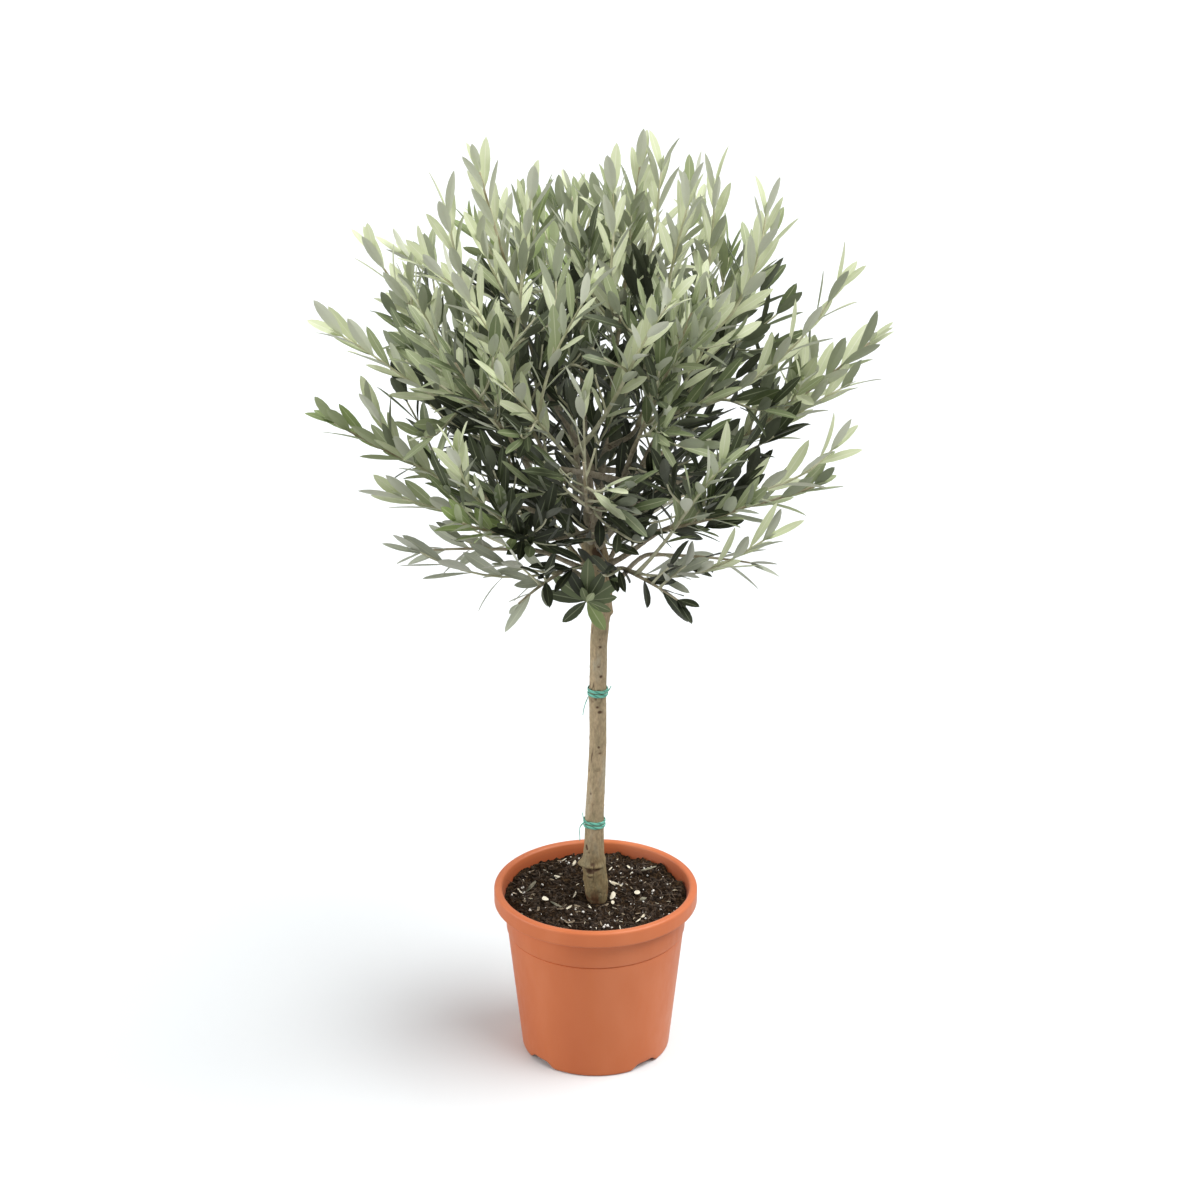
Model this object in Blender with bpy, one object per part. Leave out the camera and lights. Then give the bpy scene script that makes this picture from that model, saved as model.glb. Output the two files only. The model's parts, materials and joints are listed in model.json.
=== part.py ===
"""Potted standard olive tree: a clear trunk and a round, open crown in a plastic nursery pot.

Frame: metres, +Z up, origin under the middle of the pot, -Y is the front of the tree.
The crown is a set of masses of foliage.  Each mass is one solid: a stem, side twigs and
leaves in opposite pairs, grown by one seeded rule inside a space of its own.  A tapering
bough carries each mass from the trunk or from another bough.
"""
import math
import random
from dataclasses import dataclass

import bmesh
import bpy
import numpy as np
from mathutils import Vector
from mathutils.bvhtree import BVHTree

# ------------------------------------------------------------------ pot, in metres
POT_HEIGHT = 0.1833
RIM_RADIUS = 0.105
RIM_WIDTH = 0.0083
RIM_BAND = 0.0175
COLLAR_TOP_RADIUS = 0.0937
COLLAR_FOOT_RADIUS = 0.0925
COLLAR_HEIGHT = 0.0285
STEP_DROP = 0.0035
BODY_TOP_RADIUS = 0.0912
BODY_FOOT_RADIUS = 0.0772
WALL = 0.0020
CORNER = 0.0030
FLOOR_TOP = 0.0075
FLOOR_WALL = 0.0030
FLOOR_FILLET = 0.0020
RECESS = 0.0050
PAD_RADIUS = 0.030
FOOT_RING_WIDTH = 0.0115
POT_SEGMENTS = 32
FOOT_NOTCHES = 4
FOOT_NOTCH_AZIMUTH = math.radians(-140.0)
FOOT_NOTCH_WIDTH = 0.036
DRAIN_HOLES = 4
DRAIN_RADIUS = 0.0040
DRAIN_CIRCLE = 0.048
GAP = 0.0003
MERGE = 0.000004

# ------------------------------------------------------------------ soil, in metres
SOIL_LEVEL = 0.1665
SOIL_RISE = 0.0045
SOIL_ROUGHNESS = 0.0011
SOIL_GAP = 0.0005
SOIL_RINGS = 5
SOIL_FLAT_RADIUS = 0.0175
SOIL_BLEND = 0.060
SOIL_WAVES = ((3, 0.7, 0.0, 1.0), (5, 2.1, 60.0, 0.8), (8, 0.0, -110.0, 0.7))

# ------------------------------------------------------------------ trunk, in metres
TRUNK_SWAY_HEIGHTS = (0.164, 0.190, 0.220, 0.265, 0.305, 0.345, 0.400, 0.455, 0.520, 0.560, 0.590)
TRUNK_SWAY_X = (0.0016, 0.0, -0.0016, -0.0012, 0.0009, 0.0025, 0.0022, 0.0032, 0.0080, -0.0020, -0.0060)
TRUNK_SWAY_Y = (0.0, 0.0006, 0.0010, 0.0012, 0.0015, 0.0018, 0.0016, 0.0, -0.0015, 0.0, 0.0)
TRUNK_LEVELS = (0.165, 0.173, 0.182, 0.196, 0.220, 0.245, 0.290, 0.340, 0.400, 0.450, 0.485, 0.540)
TRUNK_RADII = (0.0098, 0.0113, 0.0117, 0.0111, 0.0102, 0.0095, 0.0091, 0.0087, 0.0087, 0.0089, 0.0093, 0.0104)
TRUNK_TOP = 0.572
TRUNK_DOME = 0.012
KNUCKLE_HEIGHT = 0.556
KNUCKLE_SWELL = 0.0022
TRUNK_SIDES = 12
TRUNK_RINGS = 24
TRUNK_RING_CROWDING = 1.4
SCAR_HEIGHT = 0.207
SCAR_SWELL = 0.0024
STUB_HEIGHT = 0.492
STUB_SWELL = 0.0016

# ------------------------------------------------------------------ ties, in metres
TIE_HEIGHTS = {"tie_lower": 0.255, "tie_upper": 0.402}
TIE_BAND = 0.0072
TIE_THICKNESS = 0.0022
TIE_GAP = 0.0006

# ------------------------------------------------------------------ crown, in metres
FORK = np.array((-0.004, 0.0, 0.556))
BOUGH_SIDES = 6
BOUGH_SEGMENTS = 4
BOUGH_TIP_RADIUS = 0.0020
BOUGH_PARENT_PULL = 0.15
BOUGH_FLATTER_START = 0.72
UPRIGHT_ELEVATION = 75
STEM_SEGMENTS = 4
TWIG_SEGMENTS = 2
STEM_TIP_RADIUS = 0.0010
TWIG_BASE_RADIUS = 0.0013
TWIG_TIP_RADIUS = 0.0008
CROWN_ELEVATIONS = (-60, -30, -12, -3, 6, 15, 27, 40, 56, 74, 90)
CROWN_REACHES = (0.07, 0.095, 0.155, 0.184, 0.198, 0.228, 0.300, 0.352, 0.386, 0.414, 0.426)
TIP_SPREAD = math.radians(8)
SPACE_MARGIN = 0.0010
LIMB_CLEARANCE = 0.0008
LEAF_LENGTH = 0.066
LEAF_WIDTH = 0.0188
LEAF_THICKNESS = 0.0013
LEAF_SINK = 0.0006
LEAF_DROOP = 0.05
LEAF_WIDEST = 0.48
LEAF_GROWTH = 1.08
LEAF_LENGTH_GROWTH = 1.02
LEAF_LENGTH_VARIETY = 0.12
LEAF_WIDTH_VARIETY = 0.10
LEAF_FACE_UP = 0.55
LEAF_LEAN_AT_FOOT = 52
LEAF_LEAN_LOST = 26
LEAF_TRIES = ((1.0, 0.0), (1.0, 0.4), (1.0, -0.4), (0.85, 0.0), (0.85, 0.8), (0.8, -0.8), (0.7, 0.4))
PAIR_SPACING = 0.0375
PAIR_TWIST = 0.25
LAST_PAIR = 0.985
STEM_STOP = 0.55
STEM_BARE_FOOT = 0.022
TWIG_BARE_FOOT = 0.014
SIDE_TWIG_LENGTH = 0.105
SIDE_TWIG_SHORTEST = 0.030
SIDE_TWIG_FIRST = 0.04
SIDE_TWIG_SPAN = 0.74
SIDE_TWIG_LEANS = (40, 58)
SIDE_TWIG_LENGTH_LOST = 0.45
SIDE_TWIG_VARIETY = 0.2
SIDE_TWIG_TWIST = 0.4
SIDE_TWIG_TURNS = tuple(0.55 * attempt for attempt in range(10))
SIDE_TWIG_SIZES = (1.0, 0.85, 0.7, 0.55, 0.42)
SIDE_TWIG_RISE = 0.12
SIDE_TWIG_UPTURN = 0.35
SIDE_TWIG_ROOM = 0.6
GOLDEN_ANGLE = math.radians(137.5)
CROWN_SEED = 1000
UP = np.array((0.0, 0.0, 1.0))


@dataclass(frozen=True)
class Mass:
    """One mass of foliage and the bough that carries it.

    The furthest tip lies `reach` from the fork at `azimuth` (0 is +X, 90 is +Y) and
    `elevation`.  The bough leaves `parent` at `at`: a height in metres on the trunk,
    a share of the length on another bough.  `bare` is the share of the reach before
    the foliage begins, `twigs` the number of side twigs and `lift` how strongly the
    stem's end turns up.
    """

    name: str
    azimuth: float
    elevation: float
    reach: float
    parent: str
    at: float
    radius: float
    bare: float = 0.40
    twigs: int = 6
    lift: float = 0.10


MASSES = (
    Mass("high_front_right", 302, 59, 0.364, "trunk", 0.556, 0.0056, 0.40, 7),
    Mass("shoulder_left", 176, 55, 0.392, "trunk", 0.553, 0.0054, 0.36, 8),
    Mass("shoulder_right", 12, 60, 0.384, "trunk", 0.557, 0.0054, 0.36, 7),
    Mass("high_back", 98, 66, 0.378, "trunk", 0.552, 0.0052, 0.40, 6),
    Mass("top", 30, 82, 0.428, "trunk", 0.560, 0.0052, 0.42, 7),
    Mass("top_left", 160, 73, 0.416, "top", 0.35, 0.0040, 0.48, 6),
    Mass("high_front_left", 228, 52, 0.330, "high_front_right", 0.70, 0.0036, 0.50, 6),
    Mass("side_left", 184, 29, 0.313, "shoulder_left", 0.34, 0.0038, 0.36, 7),
    Mass("side_right", 2, 38, 0.370, "shoulder_right", 0.38, 0.0040, 0.36, 8),
    Mass("back_left", 138, 30, 0.290, "high_back", 0.30, 0.0036, 0.40, 5),
    Mass("back_right", 52, 31, 0.300, "high_back", 0.52, 0.0036, 0.40, 5),
    Mass("front_left", 236, 24, 0.262, "high_front_right", 0.28, 0.0036, 0.34, 5),
    Mass("front", 268, 40, 0.275, "high_front_right", 0.50, 0.0034, 0.42, 5),
    Mass("front_right", 312, 26, 0.268, "high_front_right", 0.38, 0.0034, 0.36, 5),
    Mass("right", 350, 20, 0.262, "trunk", 0.538, 0.0032, 0.34, 5),
    Mass("inner_left", 190, 66, 0.270, "top", 0.25, 0.0030, 0.36, 5),
    Mass("inner_right", 335, 70, 0.290, "top", 0.55, 0.0030, 0.50, 5),
    Mass("low_right", 344, 1, 0.190, "trunk", 0.520, 0.0028, 0.34, 4, -0.08),
    Mass("low_front_right", 303, -1, 0.180, "trunk", 0.532, 0.0028, 0.36, 4, -0.08),
    Mass("low_front_left", 242, -2, 0.176, "trunk", 0.524, 0.0028, 0.36, 4, -0.08),
    Mass("low_left", 192, 4, 0.196, "trunk", 0.534, 0.0030, 0.34, 4, -0.08),
    Mass("low_back_left", 132, 3, 0.186, "trunk", 0.523, 0.0030, 0.34, 3, -0.08),
    Mass("low_back_right", 52, 4, 0.186, "trunk", 0.534, 0.0030, 0.34, 3, -0.08),
)


def unit(vector):
    """The vector at length one."""
    return vector / np.linalg.norm(vector)


def heading(azimuth, elevation):
    """Unit vector at an azimuth and elevation in degrees."""
    a = math.radians(azimuth)
    e = math.radians(elevation)
    return np.array((math.cos(a) * math.cos(e), math.sin(a) * math.cos(e), math.sin(e)))


def across(direction, angle):
    """Unit vector square to a direction, at an angle round it."""
    helper = UP if abs(direction[2]) < 0.9 else np.array((1.0, 0.0, 0.0))
    first = unit(np.cross(direction, helper))
    second = np.cross(direction, first)
    return first * math.cos(angle) + second * math.sin(angle)


def bezier(start, start_way, end, end_way, count, reach=0.36):
    """Points of a cubic curve that leaves and arrives along the two ways."""
    span = np.linalg.norm(end - start) * reach
    a = start + start_way * span
    b = end - end_way * span
    t = np.linspace(0.0, 1.0, count)[:, None]
    return (1 - t) ** 3 * start + 3 * (1 - t) ** 2 * t * a + 3 * (1 - t) * t ** 2 * b + t ** 3 * end


def ways(points):
    """Unit tangent at each point of a path."""
    steps = np.gradient(points, axis=0)
    return steps / np.linalg.norm(steps, axis=1)[:, None]


def place_on(points, share):
    """Point and tangent at a share of a path's length."""
    lengths = np.concatenate(([0.0], np.cumsum(np.linalg.norm(np.diff(points, axis=0), axis=1))))
    at = share * lengths[-1]
    tangents = ways(points)
    point = np.array([np.interp(at, lengths, points[:, k]) for k in range(3)])
    way = np.array([np.interp(at, lengths, tangents[:, k]) for k in range(3)])
    return point, unit(way)


def path_length(points):
    """Length of a path."""
    return float(np.linalg.norm(np.diff(points, axis=0), axis=1).sum())


# ------------------------------------------------------------------ meshes and objects
def material(name, colour, roughness):
    """A plain dielectric Principled material."""
    finish = bpy.data.materials.get(name) or bpy.data.materials.new(name)
    finish.use_nodes = True
    shader = finish.node_tree.nodes["Principled BSDF"]
    shader.inputs["Base Color"].default_value = (*colour, 1.0)
    shader.inputs["Roughness"].default_value = roughness
    shader.inputs["Metallic"].default_value = 0.0
    finish.diffuse_color = (*colour, 1.0)
    return finish


def make_object(name, vertices, faces, finish=None, smooth=False):
    """A mesh object in the scene."""
    mesh = bpy.data.meshes.new(name)
    mesh.from_pydata([tuple(v) for v in vertices], [], faces)
    mesh.update()
    if smooth:
        mesh.shade_smooth()
    piece = bpy.data.objects.new(name, mesh)
    bpy.context.scene.collection.objects.link(piece)
    if finish is not None:
        mesh.materials.append(finish)
    return piece


def grid_faces(rings, sides, closed_up=False):
    """Quads of a grid whose sides run round, and whose rings may close up too."""
    faces = []
    for ring in range(rings if closed_up else rings - 1):
        low = ring * sides
        high = ((ring + 1) % rings) * sides
        for side in range(sides):
            after = (side + 1) % sides
            faces.append((low + side, low + after, high + after, high + side))
    return faces


def tube_mesh(points, radii, sides):
    """Vertices and faces of a closed tapering tube along a path, with flat ends."""
    tangents = ways(points)
    turn = across(tangents[0], 0.4)
    vertices = []
    for point, way, radius in zip(points, tangents, radii):
        turn = unit(turn - way * np.dot(turn, way))
        other = np.cross(way, turn)
        for side in range(sides):
            angle = 2 * math.pi * side / sides
            vertices.append(point + (turn * math.cos(angle) + other * math.sin(angle)) * radius)
    faces = grid_faces(len(points), sides)
    faces.append(tuple(reversed(range(sides))))
    faces.append(tuple((len(points) - 1) * sides + side for side in range(sides)))
    return vertices, faces


def evaluated_mesh(piece):
    """A copy of the mesh with the modifiers applied."""
    depsgraph = bpy.context.evaluated_depsgraph_get()
    depsgraph.update()
    return bpy.data.meshes.new_from_object(piece.evaluated_get(depsgraph))


def keep_largest_shell(mesh):
    """Drop every connected shell but the largest, and give the places where it isn't closed."""
    work = bmesh.new()
    work.from_mesh(mesh)
    bmesh.ops.remove_doubles(work, verts=work.verts, dist=MERGE)
    bmesh.ops.dissolve_degenerate(work, edges=work.edges, dist=MERGE)
    unseen = set(work.faces)
    shells = []
    while unseen:
        stack = [unseen.pop()]
        shell = [stack[0]]
        while stack:
            for edge in stack.pop().edges:
                for face in edge.link_faces:
                    if face in unseen:
                        unseen.remove(face)
                        stack.append(face)
                        shell.append(face)
        shells.append(shell)

    def volume(shell):
        total = 0.0
        for face in shell:
            first = face.verts[0].co
            for one, two in zip(face.verts[1:-1], face.verts[2:]):
                total += first.dot(one.co.cross(two.co))
        return total / 6.0

    shells.sort(key=volume)
    scrap = [face for shell in shells[:-1] for face in shell]
    bmesh.ops.delete(work, geom=scrap, context="FACES")
    faults = [sum((v.co for v in edge.verts), Vector()) / 2 for edge in work.edges if not edge.is_manifold]
    work.to_mesh(mesh)
    work.free()
    return faults


def combine(piece, operation, others):
    """Join or cut a piece with other objects, apply it, remove them, and give any faults."""
    group = bpy.data.collections.new("others")
    bpy.context.scene.collection.children.link(group)
    for other in others:
        bpy.context.scene.collection.objects.unlink(other)
        group.objects.link(other)
    boolean = piece.modifiers.new("boolean", "BOOLEAN")
    boolean.operation = operation
    boolean.operand_type = "COLLECTION"
    boolean.collection = group
    for solver in ("EXACT", "MANIFOLD"):
        boolean.solver = solver
        joined = evaluated_mesh(piece)
        faults = keep_largest_shell(joined)
        if not faults:
            break
    piece.modifiers.remove(boolean)
    old = piece.data
    for finish in old.materials:
        if finish is not None and finish.name not in joined.materials:
            joined.materials.append(finish)
    piece.data = joined
    bpy.data.meshes.remove(old)
    for other in others:
        bpy.data.objects.remove(other)
    bpy.data.collections.remove(group)
    joined.name = piece.name
    return faults


class Shape:
    """A small closed solid with its box and its search tree."""

    def __init__(self, vertices, faces):
        self.vertices = [tuple(v) for v in vertices]
        self.faces = faces
        points = np.array(self.vertices)
        self.low = points.min(axis=0)
        self.high = points.max(axis=0)
        self.tree = BVHTree.FromPolygons([Vector(v) for v in self.vertices], faces)

    def touches(self, other):
        """True when the two surfaces cross."""
        if np.any(self.low > other.high) or np.any(other.low > self.high):
            return False
        return bool(self.tree.overlap(other.tree))


# ------------------------------------------------------------------ pot and soil
def outer_radius(height):
    """Radius of the pot's tapered body at a height."""
    share = height / (POT_HEIGHT - RIM_BAND - COLLAR_HEIGHT - STEP_DROP)
    return BODY_FOOT_RADIUS + (BODY_TOP_RADIUS - BODY_FOOT_RADIUS) * share


def inner_wall():
    """Radius and height down the inside of the pot, from the rim to the floor."""
    collar_top = POT_HEIGHT - RIM_BAND
    collar_foot = collar_top - COLLAR_HEIGHT
    return [
        (RIM_RADIUS - RIM_WIDTH, POT_HEIGHT - CORNER),
        (COLLAR_TOP_RADIUS - WALL / 2, collar_top),
        (COLLAR_FOOT_RADIUS - WALL, collar_foot),
        (BODY_TOP_RADIUS - WALL, collar_foot - STEP_DROP),
        (outer_radius(FLOOR_TOP) - FLOOR_WALL, FLOOR_TOP + FLOOR_FILLET),
        (outer_radius(FLOOR_TOP) - FLOOR_WALL - FLOOR_FILLET, FLOOR_TOP),
    ]


def arc(centre, radius, start, end, count):
    """Points of a quarter-round in a profile, angles in degrees."""
    angles = np.radians(np.linspace(start, end, count))
    return [(centre[0] + radius * math.cos(a), centre[1] + radius * math.sin(a)) for a in angles]


def make_pot():
    """The turned pot with its rolled rim, collar, feet and drain holes."""
    collar_top = POT_HEIGHT - RIM_BAND
    collar_foot = collar_top - COLLAR_HEIGHT
    foot_inside = BODY_FOOT_RADIUS - FOOT_RING_WIDTH
    top_inside = (RIM_RADIUS - RIM_WIDTH + CORNER, POT_HEIGHT - CORNER)
    top_outside = (RIM_RADIUS - CORNER, POT_HEIGHT - CORNER)
    profile = [(PAD_RADIUS, 0.0), (PAD_RADIUS + WALL, RECESS), (foot_inside, RECESS)]
    profile += [(foot_inside + WALL, 0.0)]
    profile += arc((BODY_FOOT_RADIUS - CORNER, CORNER), CORNER, -90, -6, 3)
    profile += [(BODY_TOP_RADIUS, collar_foot - STEP_DROP), (COLLAR_FOOT_RADIUS, collar_foot)]
    profile += [(COLLAR_TOP_RADIUS, collar_top)]
    profile += arc((RIM_RADIUS - WALL, collar_top + WALL), WALL, -90, 0, 2)
    profile += arc(top_outside, CORNER, 0, 90, 3)
    profile += arc(top_inside, CORNER, 90, 165, 3)
    profile += inner_wall()
    vertices = []
    for radius, height in profile:
        for side in range(POT_SEGMENTS):
            angle = 2 * math.pi * side / POT_SEGMENTS
            vertices.append((radius * math.cos(angle), radius * math.sin(angle), height))
    faces = grid_faces(len(profile), POT_SEGMENTS)
    faces.append(tuple(reversed(range(POT_SEGMENTS))))
    faces.append(tuple((len(profile) - 1) * POT_SEGMENTS + k for k in range(POT_SEGMENTS)))
    clay = material("terracotta_plastic", (0.52, 0.16, 0.065), 0.5)
    pot = make_object("pot", vertices, faces, clay, smooth=True)
    combine(pot, "DIFFERENCE", foot_notch_cutters() + drain_cutters())
    pot.data.shade_smooth()
    pot.data.set_sharp_from_angle(angle=math.radians(35))
    return pot


def foot_notch_cutters():
    """Blocks that open the foot ring into four feet."""
    cutters = []
    depth = 2 * FOOT_RING_WIDTH
    middle = BODY_FOOT_RADIUS - 0.2 * FOOT_RING_WIDTH
    for notch in range(FOOT_NOTCHES):
        angle = FOOT_NOTCH_AZIMUTH + 2 * math.pi * notch / FOOT_NOTCHES
        out = np.array((math.cos(angle), math.sin(angle), 0.0))
        along = np.array((-math.sin(angle), math.cos(angle), 0.0))
        vertices = []
        for height, width in ((-RECESS, 1.15), (RECESS, 0.80)):
            for side, way in ((-1, -1), (1, -1), (1, 1), (-1, 1)):
                point = out * (middle + way * depth / 2) + UP * height
                vertices.append(point + along * side * width * FOOT_NOTCH_WIDTH / 2)
        faces = [(0, 1, 2, 3), (7, 6, 5, 4), (0, 4, 5, 1), (1, 5, 6, 2), (2, 6, 7, 3), (3, 7, 4, 0)]
        cutters.append(make_object("cutter_foot", vertices, faces))
    return cutters


def drain_cutters():
    """Pegs that open the drain holes in the recessed floor."""
    cutters = []
    for hole in range(DRAIN_HOLES):
        angle = 2 * math.pi * (hole + 0.5) / DRAIN_HOLES
        centre = np.array((math.cos(angle), math.sin(angle), 0.0)) * DRAIN_CIRCLE
        points = np.array([centre, centre + UP * 2 * FLOOR_TOP])
        cutters.append(make_object("cutter_drain", *tube_mesh(points, [DRAIN_RADIUS] * 2, 8)))
    return cutters


def soil_height(radius, angle):
    """Height of the soil's surface: flat under the trunk, uneven and higher outside."""
    outward = min(1.0, max(0.0, (radius - SOIL_FLAT_RADIUS) / SOIL_BLEND))
    waves = 0.0
    for count, phase, radial, weight in SOIL_WAVES:
        waves += weight * math.sin(count * angle + phase + radial * radius)
    return SOIL_LEVEL - SOIL_GAP + outward * (SOIL_RISE + SOIL_ROUGHNESS * waves)


def make_soil():
    """The peat that fills the pot up to the trunk's foot."""
    wall = [(radius - SOIL_GAP, height) for radius, height in inner_wall()]
    radii, levels = zip(wall[2], wall[1], wall[0])
    top_radius = np.interp(SOIL_LEVEL, levels, radii)
    profile = [(wall[5][0], wall[5][1] + SOIL_GAP), (wall[4][0], wall[4][1]), wall[3], wall[2], wall[1]]
    vertices = []
    for radius, height in profile:
        for side in range(POT_SEGMENTS):
            angle = 2 * math.pi * side / POT_SEGMENTS
            vertices.append((radius * math.cos(angle), radius * math.sin(angle), height))
    for ring in range(SOIL_RINGS):
        share = ring / (SOIL_RINGS - 1)
        for side in range(POT_SEGMENTS):
            angle = 2 * math.pi * side / POT_SEGMENTS
            height = soil_height(top_radius + (SOIL_FLAT_RADIUS - top_radius) * share, angle)
            edge = np.interp(height, levels, radii) if ring == 0 else top_radius
            radius = edge + (SOIL_FLAT_RADIUS - edge) * share
            vertices.append((radius * math.cos(angle), radius * math.sin(angle), height))
    rings = len(profile) + SOIL_RINGS
    faces = grid_faces(rings, POT_SEGMENTS)
    faces.append(tuple(reversed(range(POT_SEGMENTS))))
    faces.append(tuple((rings - 1) * POT_SEGMENTS + k for k in range(POT_SEGMENTS)))
    return make_object("soil", vertices, faces, material("peat", (0.06, 0.038, 0.022), 0.95))


# ------------------------------------------------------------------ trunk and ties
def trunk_centre(height):
    """Point on the trunk's swaying axis."""
    x = np.interp(height, TRUNK_SWAY_HEIGHTS, TRUNK_SWAY_X)
    y = np.interp(height, TRUNK_SWAY_HEIGHTS, TRUNK_SWAY_Y)
    return np.array((x, y, height))


def swell(value, centre, width):
    """A smooth hump of height one."""
    return math.exp(-((value - centre) / width) ** 2)


def trunk_radius(height, angle):
    """Radius of the trunk: thick foot, pruning scar on the left, stub on the right, knuckle."""
    from_right = math.pi - abs(angle % (2 * math.pi) - math.pi)
    radius = float(np.interp(height, TRUNK_LEVELS, TRUNK_RADII))
    radius *= 1 + 0.03 * math.sin(2 * angle + 9 * height)
    radius += SCAR_SWELL * swell(height, SCAR_HEIGHT, 0.010) * swell(from_right, math.pi, 0.75)
    radius += STUB_SWELL * swell(height, STUB_HEIGHT, 0.007) * swell(from_right, 0.0, 0.6)
    radius += KNUCKLE_SWELL * swell(height, KNUCKLE_HEIGHT, 0.020)
    return radius


def trunk_mesh(inflate=0.0):
    """The trunk from its flat cut at soil level to the rounded knuckle."""
    dome = TRUNK_DOME
    climb = np.linspace(0.0, 1.0, TRUNK_RINGS) ** TRUNK_RING_CROWDING
    heights = SOIL_LEVEL + (TRUNK_TOP - dome - SOIL_LEVEL) * climb
    shares = [1.0] * TRUNK_RINGS
    for step in (30, 55, 75):
        heights = np.append(heights, TRUNK_TOP - dome + dome * math.sin(math.radians(step)))
        shares.append(math.cos(math.radians(step)))
    vertices = []
    for height, share in zip(heights, shares):
        centre = trunk_centre(height)
        lift = inflate * (height - SOIL_LEVEL) / (TRUNK_TOP - SOIL_LEVEL)
        for side in range(TRUNK_SIDES):
            angle = 2 * math.pi * side / TRUNK_SIDES
            radius = trunk_radius(height, angle) * share + inflate
            vertices.append(centre + radius * heading(math.degrees(angle), 0) + UP * lift)
    faces = grid_faces(len(heights), TRUNK_SIDES)
    faces.append(tuple(reversed(range(TRUNK_SIDES))))
    faces.append(tuple((len(heights) - 1) * TRUNK_SIDES + k for k in range(TRUNK_SIDES)))
    return vertices, faces


def make_tie(name, height):
    """Two turns of twine drawn snug round the trunk, as one flat band."""
    half = TIE_BAND / 2
    profile = [(0.0, -half * 0.7), (TIE_THICKNESS, -half), (TIE_THICKNESS, half), (0.0, half * 0.7)]
    vertices = []
    for side in range(TRUNK_SIDES):
        angle = 2 * math.pi * side / TRUNK_SIDES
        out = heading(math.degrees(angle), 0)
        for offset, rise in profile:
            centre = trunk_centre(height + rise)
            radius = trunk_radius(height + rise, angle) + TIE_GAP + offset
            vertices.append(centre + out * radius)
    faces = [tuple(reversed(face)) for face in grid_faces(TRUNK_SIDES, len(profile), True)]
    return make_object(name, vertices, faces, material("twine", (0.12, 0.46, 0.33), 0.7))


# ------------------------------------------------------------------ boughs
class Limbs:
    """The paths of the trunk and boughs, by name."""

    def __init__(self):
        heights = np.linspace(SOIL_LEVEL, TRUNK_TOP, 30)
        self.paths = {"trunk": np.array([trunk_centre(height) for height in heights])}
        self.radii = {}

    def start_of(self, mass):
        """Point and way where a mass's bough leaves its parent."""
        if mass.parent == "trunk":
            return trunk_centre(mass.at), UP
        return place_on(self.paths[mass.parent], mass.at)

    def add(self, mass):
        """Lay a bough's path from its parent to the foot of its mass."""
        aim = heading(mass.azimuth, mass.elevation)
        foot = FORK + aim * mass.reach * mass.bare
        start, parent_way = self.start_of(mass)
        leaving = unit(unit(foot - start) + parent_way * BOUGH_PARENT_PULL)
        if mass.parent == "trunk":
            spread = heading(mass.azimuth, max(0.0, mass.elevation * BOUGH_FLATTER_START))
            leaving = spread if mass.elevation < UPRIGHT_ELEVATION else aim
        self.paths[mass.name] = bezier(start, leaving, foot, aim, BOUGH_SEGMENTS + 1)
        self.radii[mass.name] = np.linspace(mass.radius, BOUGH_TIP_RADIUS, BOUGH_SEGMENTS + 1)

    def mesh(self, name, inflate=0.0):
        """Mesh of a bough, or of the space it needs when inflated."""
        points = self.paths[name].copy()
        if inflate:
            tangents = ways(points)
            points[-1] = points[-1] + tangents[-1] * inflate
        return tube_mesh(points, self.radii[name] + inflate, BOUGH_SIDES)


def make_limbs():
    """Trunk and boughs, each bough cut clear of its parent and of the boughs before it."""
    bark = material("bark", (0.32, 0.25, 0.16), 0.9)
    limbs = Limbs()
    trunk = make_object("trunk", *trunk_mesh(), bark, smooth=True)
    trunk.data.set_sharp_from_angle(angle=math.radians(40))
    earlier = [Shape(*trunk_mesh(GAP))]
    for mass in MASSES:
        limbs.add(mass)
        bough = make_object("bough_" + mass.name, *limbs.mesh(mass.name), bark, smooth=True)
        own = Shape(*limbs.mesh(mass.name))
        near = [shape for shape in earlier if shape.touches(own)]
        combine(bough, "DIFFERENCE", [make_object("cutter", s.vertices, s.faces) for s in near])
        bough.data.shade_smooth()
        bough.data.set_sharp_from_angle(angle=math.radians(40))
        earlier.append(Shape(*limbs.mesh(mass.name, GAP)))
    return limbs


# ------------------------------------------------------------------ foliage
@dataclass(eq=False)
class Sprout:
    """A twig or a leaf that has grown: its solid, a twig's path, a leaf's twig."""

    shape: Shape
    points: np.ndarray = None
    twig: object = None


class Spaces:
    """The crown shared out: each point belongs to the mass whose stem is nearest."""

    def __init__(self, limbs):
        self.aims = np.array([heading(mass.azimuth, mass.elevation) for mass in MASSES])
        self.feet = np.array([limbs.paths[mass.name][-1] for mass in MASSES])
        reaches = np.array([mass.reach for mass in MASSES])
        self.spans = FORK + self.aims * reaches[:, None] - self.feet

    def holds(self, index, points):
        """True when all points lie nearer the mass's own stem than any other."""
        off = points[:, None] - self.feet
        along = (off * self.spans).sum(axis=2) / (self.spans ** 2).sum(axis=1)
        off -= np.clip(along, 0.0, 1.0)[:, :, None] * self.spans
        away = np.linalg.norm(off, axis=2)
        own = away[:, index].copy()
        away[:, index] = np.inf
        return bool(np.all(own + SPACE_MARGIN < away.min(axis=1)))

    def within_reach(self, index, point):
        """True inside the crown's round outline, or on a mass's own way to its furthest tip."""
        out = point - FORK
        distance = np.linalg.norm(out)
        elevation = math.degrees(math.asin(out[2] / distance))
        limit = np.interp(elevation, CROWN_ELEVATIONS, CROWN_REACHES)
        if np.dot(out / distance, self.aims[index]) > math.cos(TIP_SPREAD):
            limit = max(limit, MASSES[index].reach)
        return distance < limit


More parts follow.
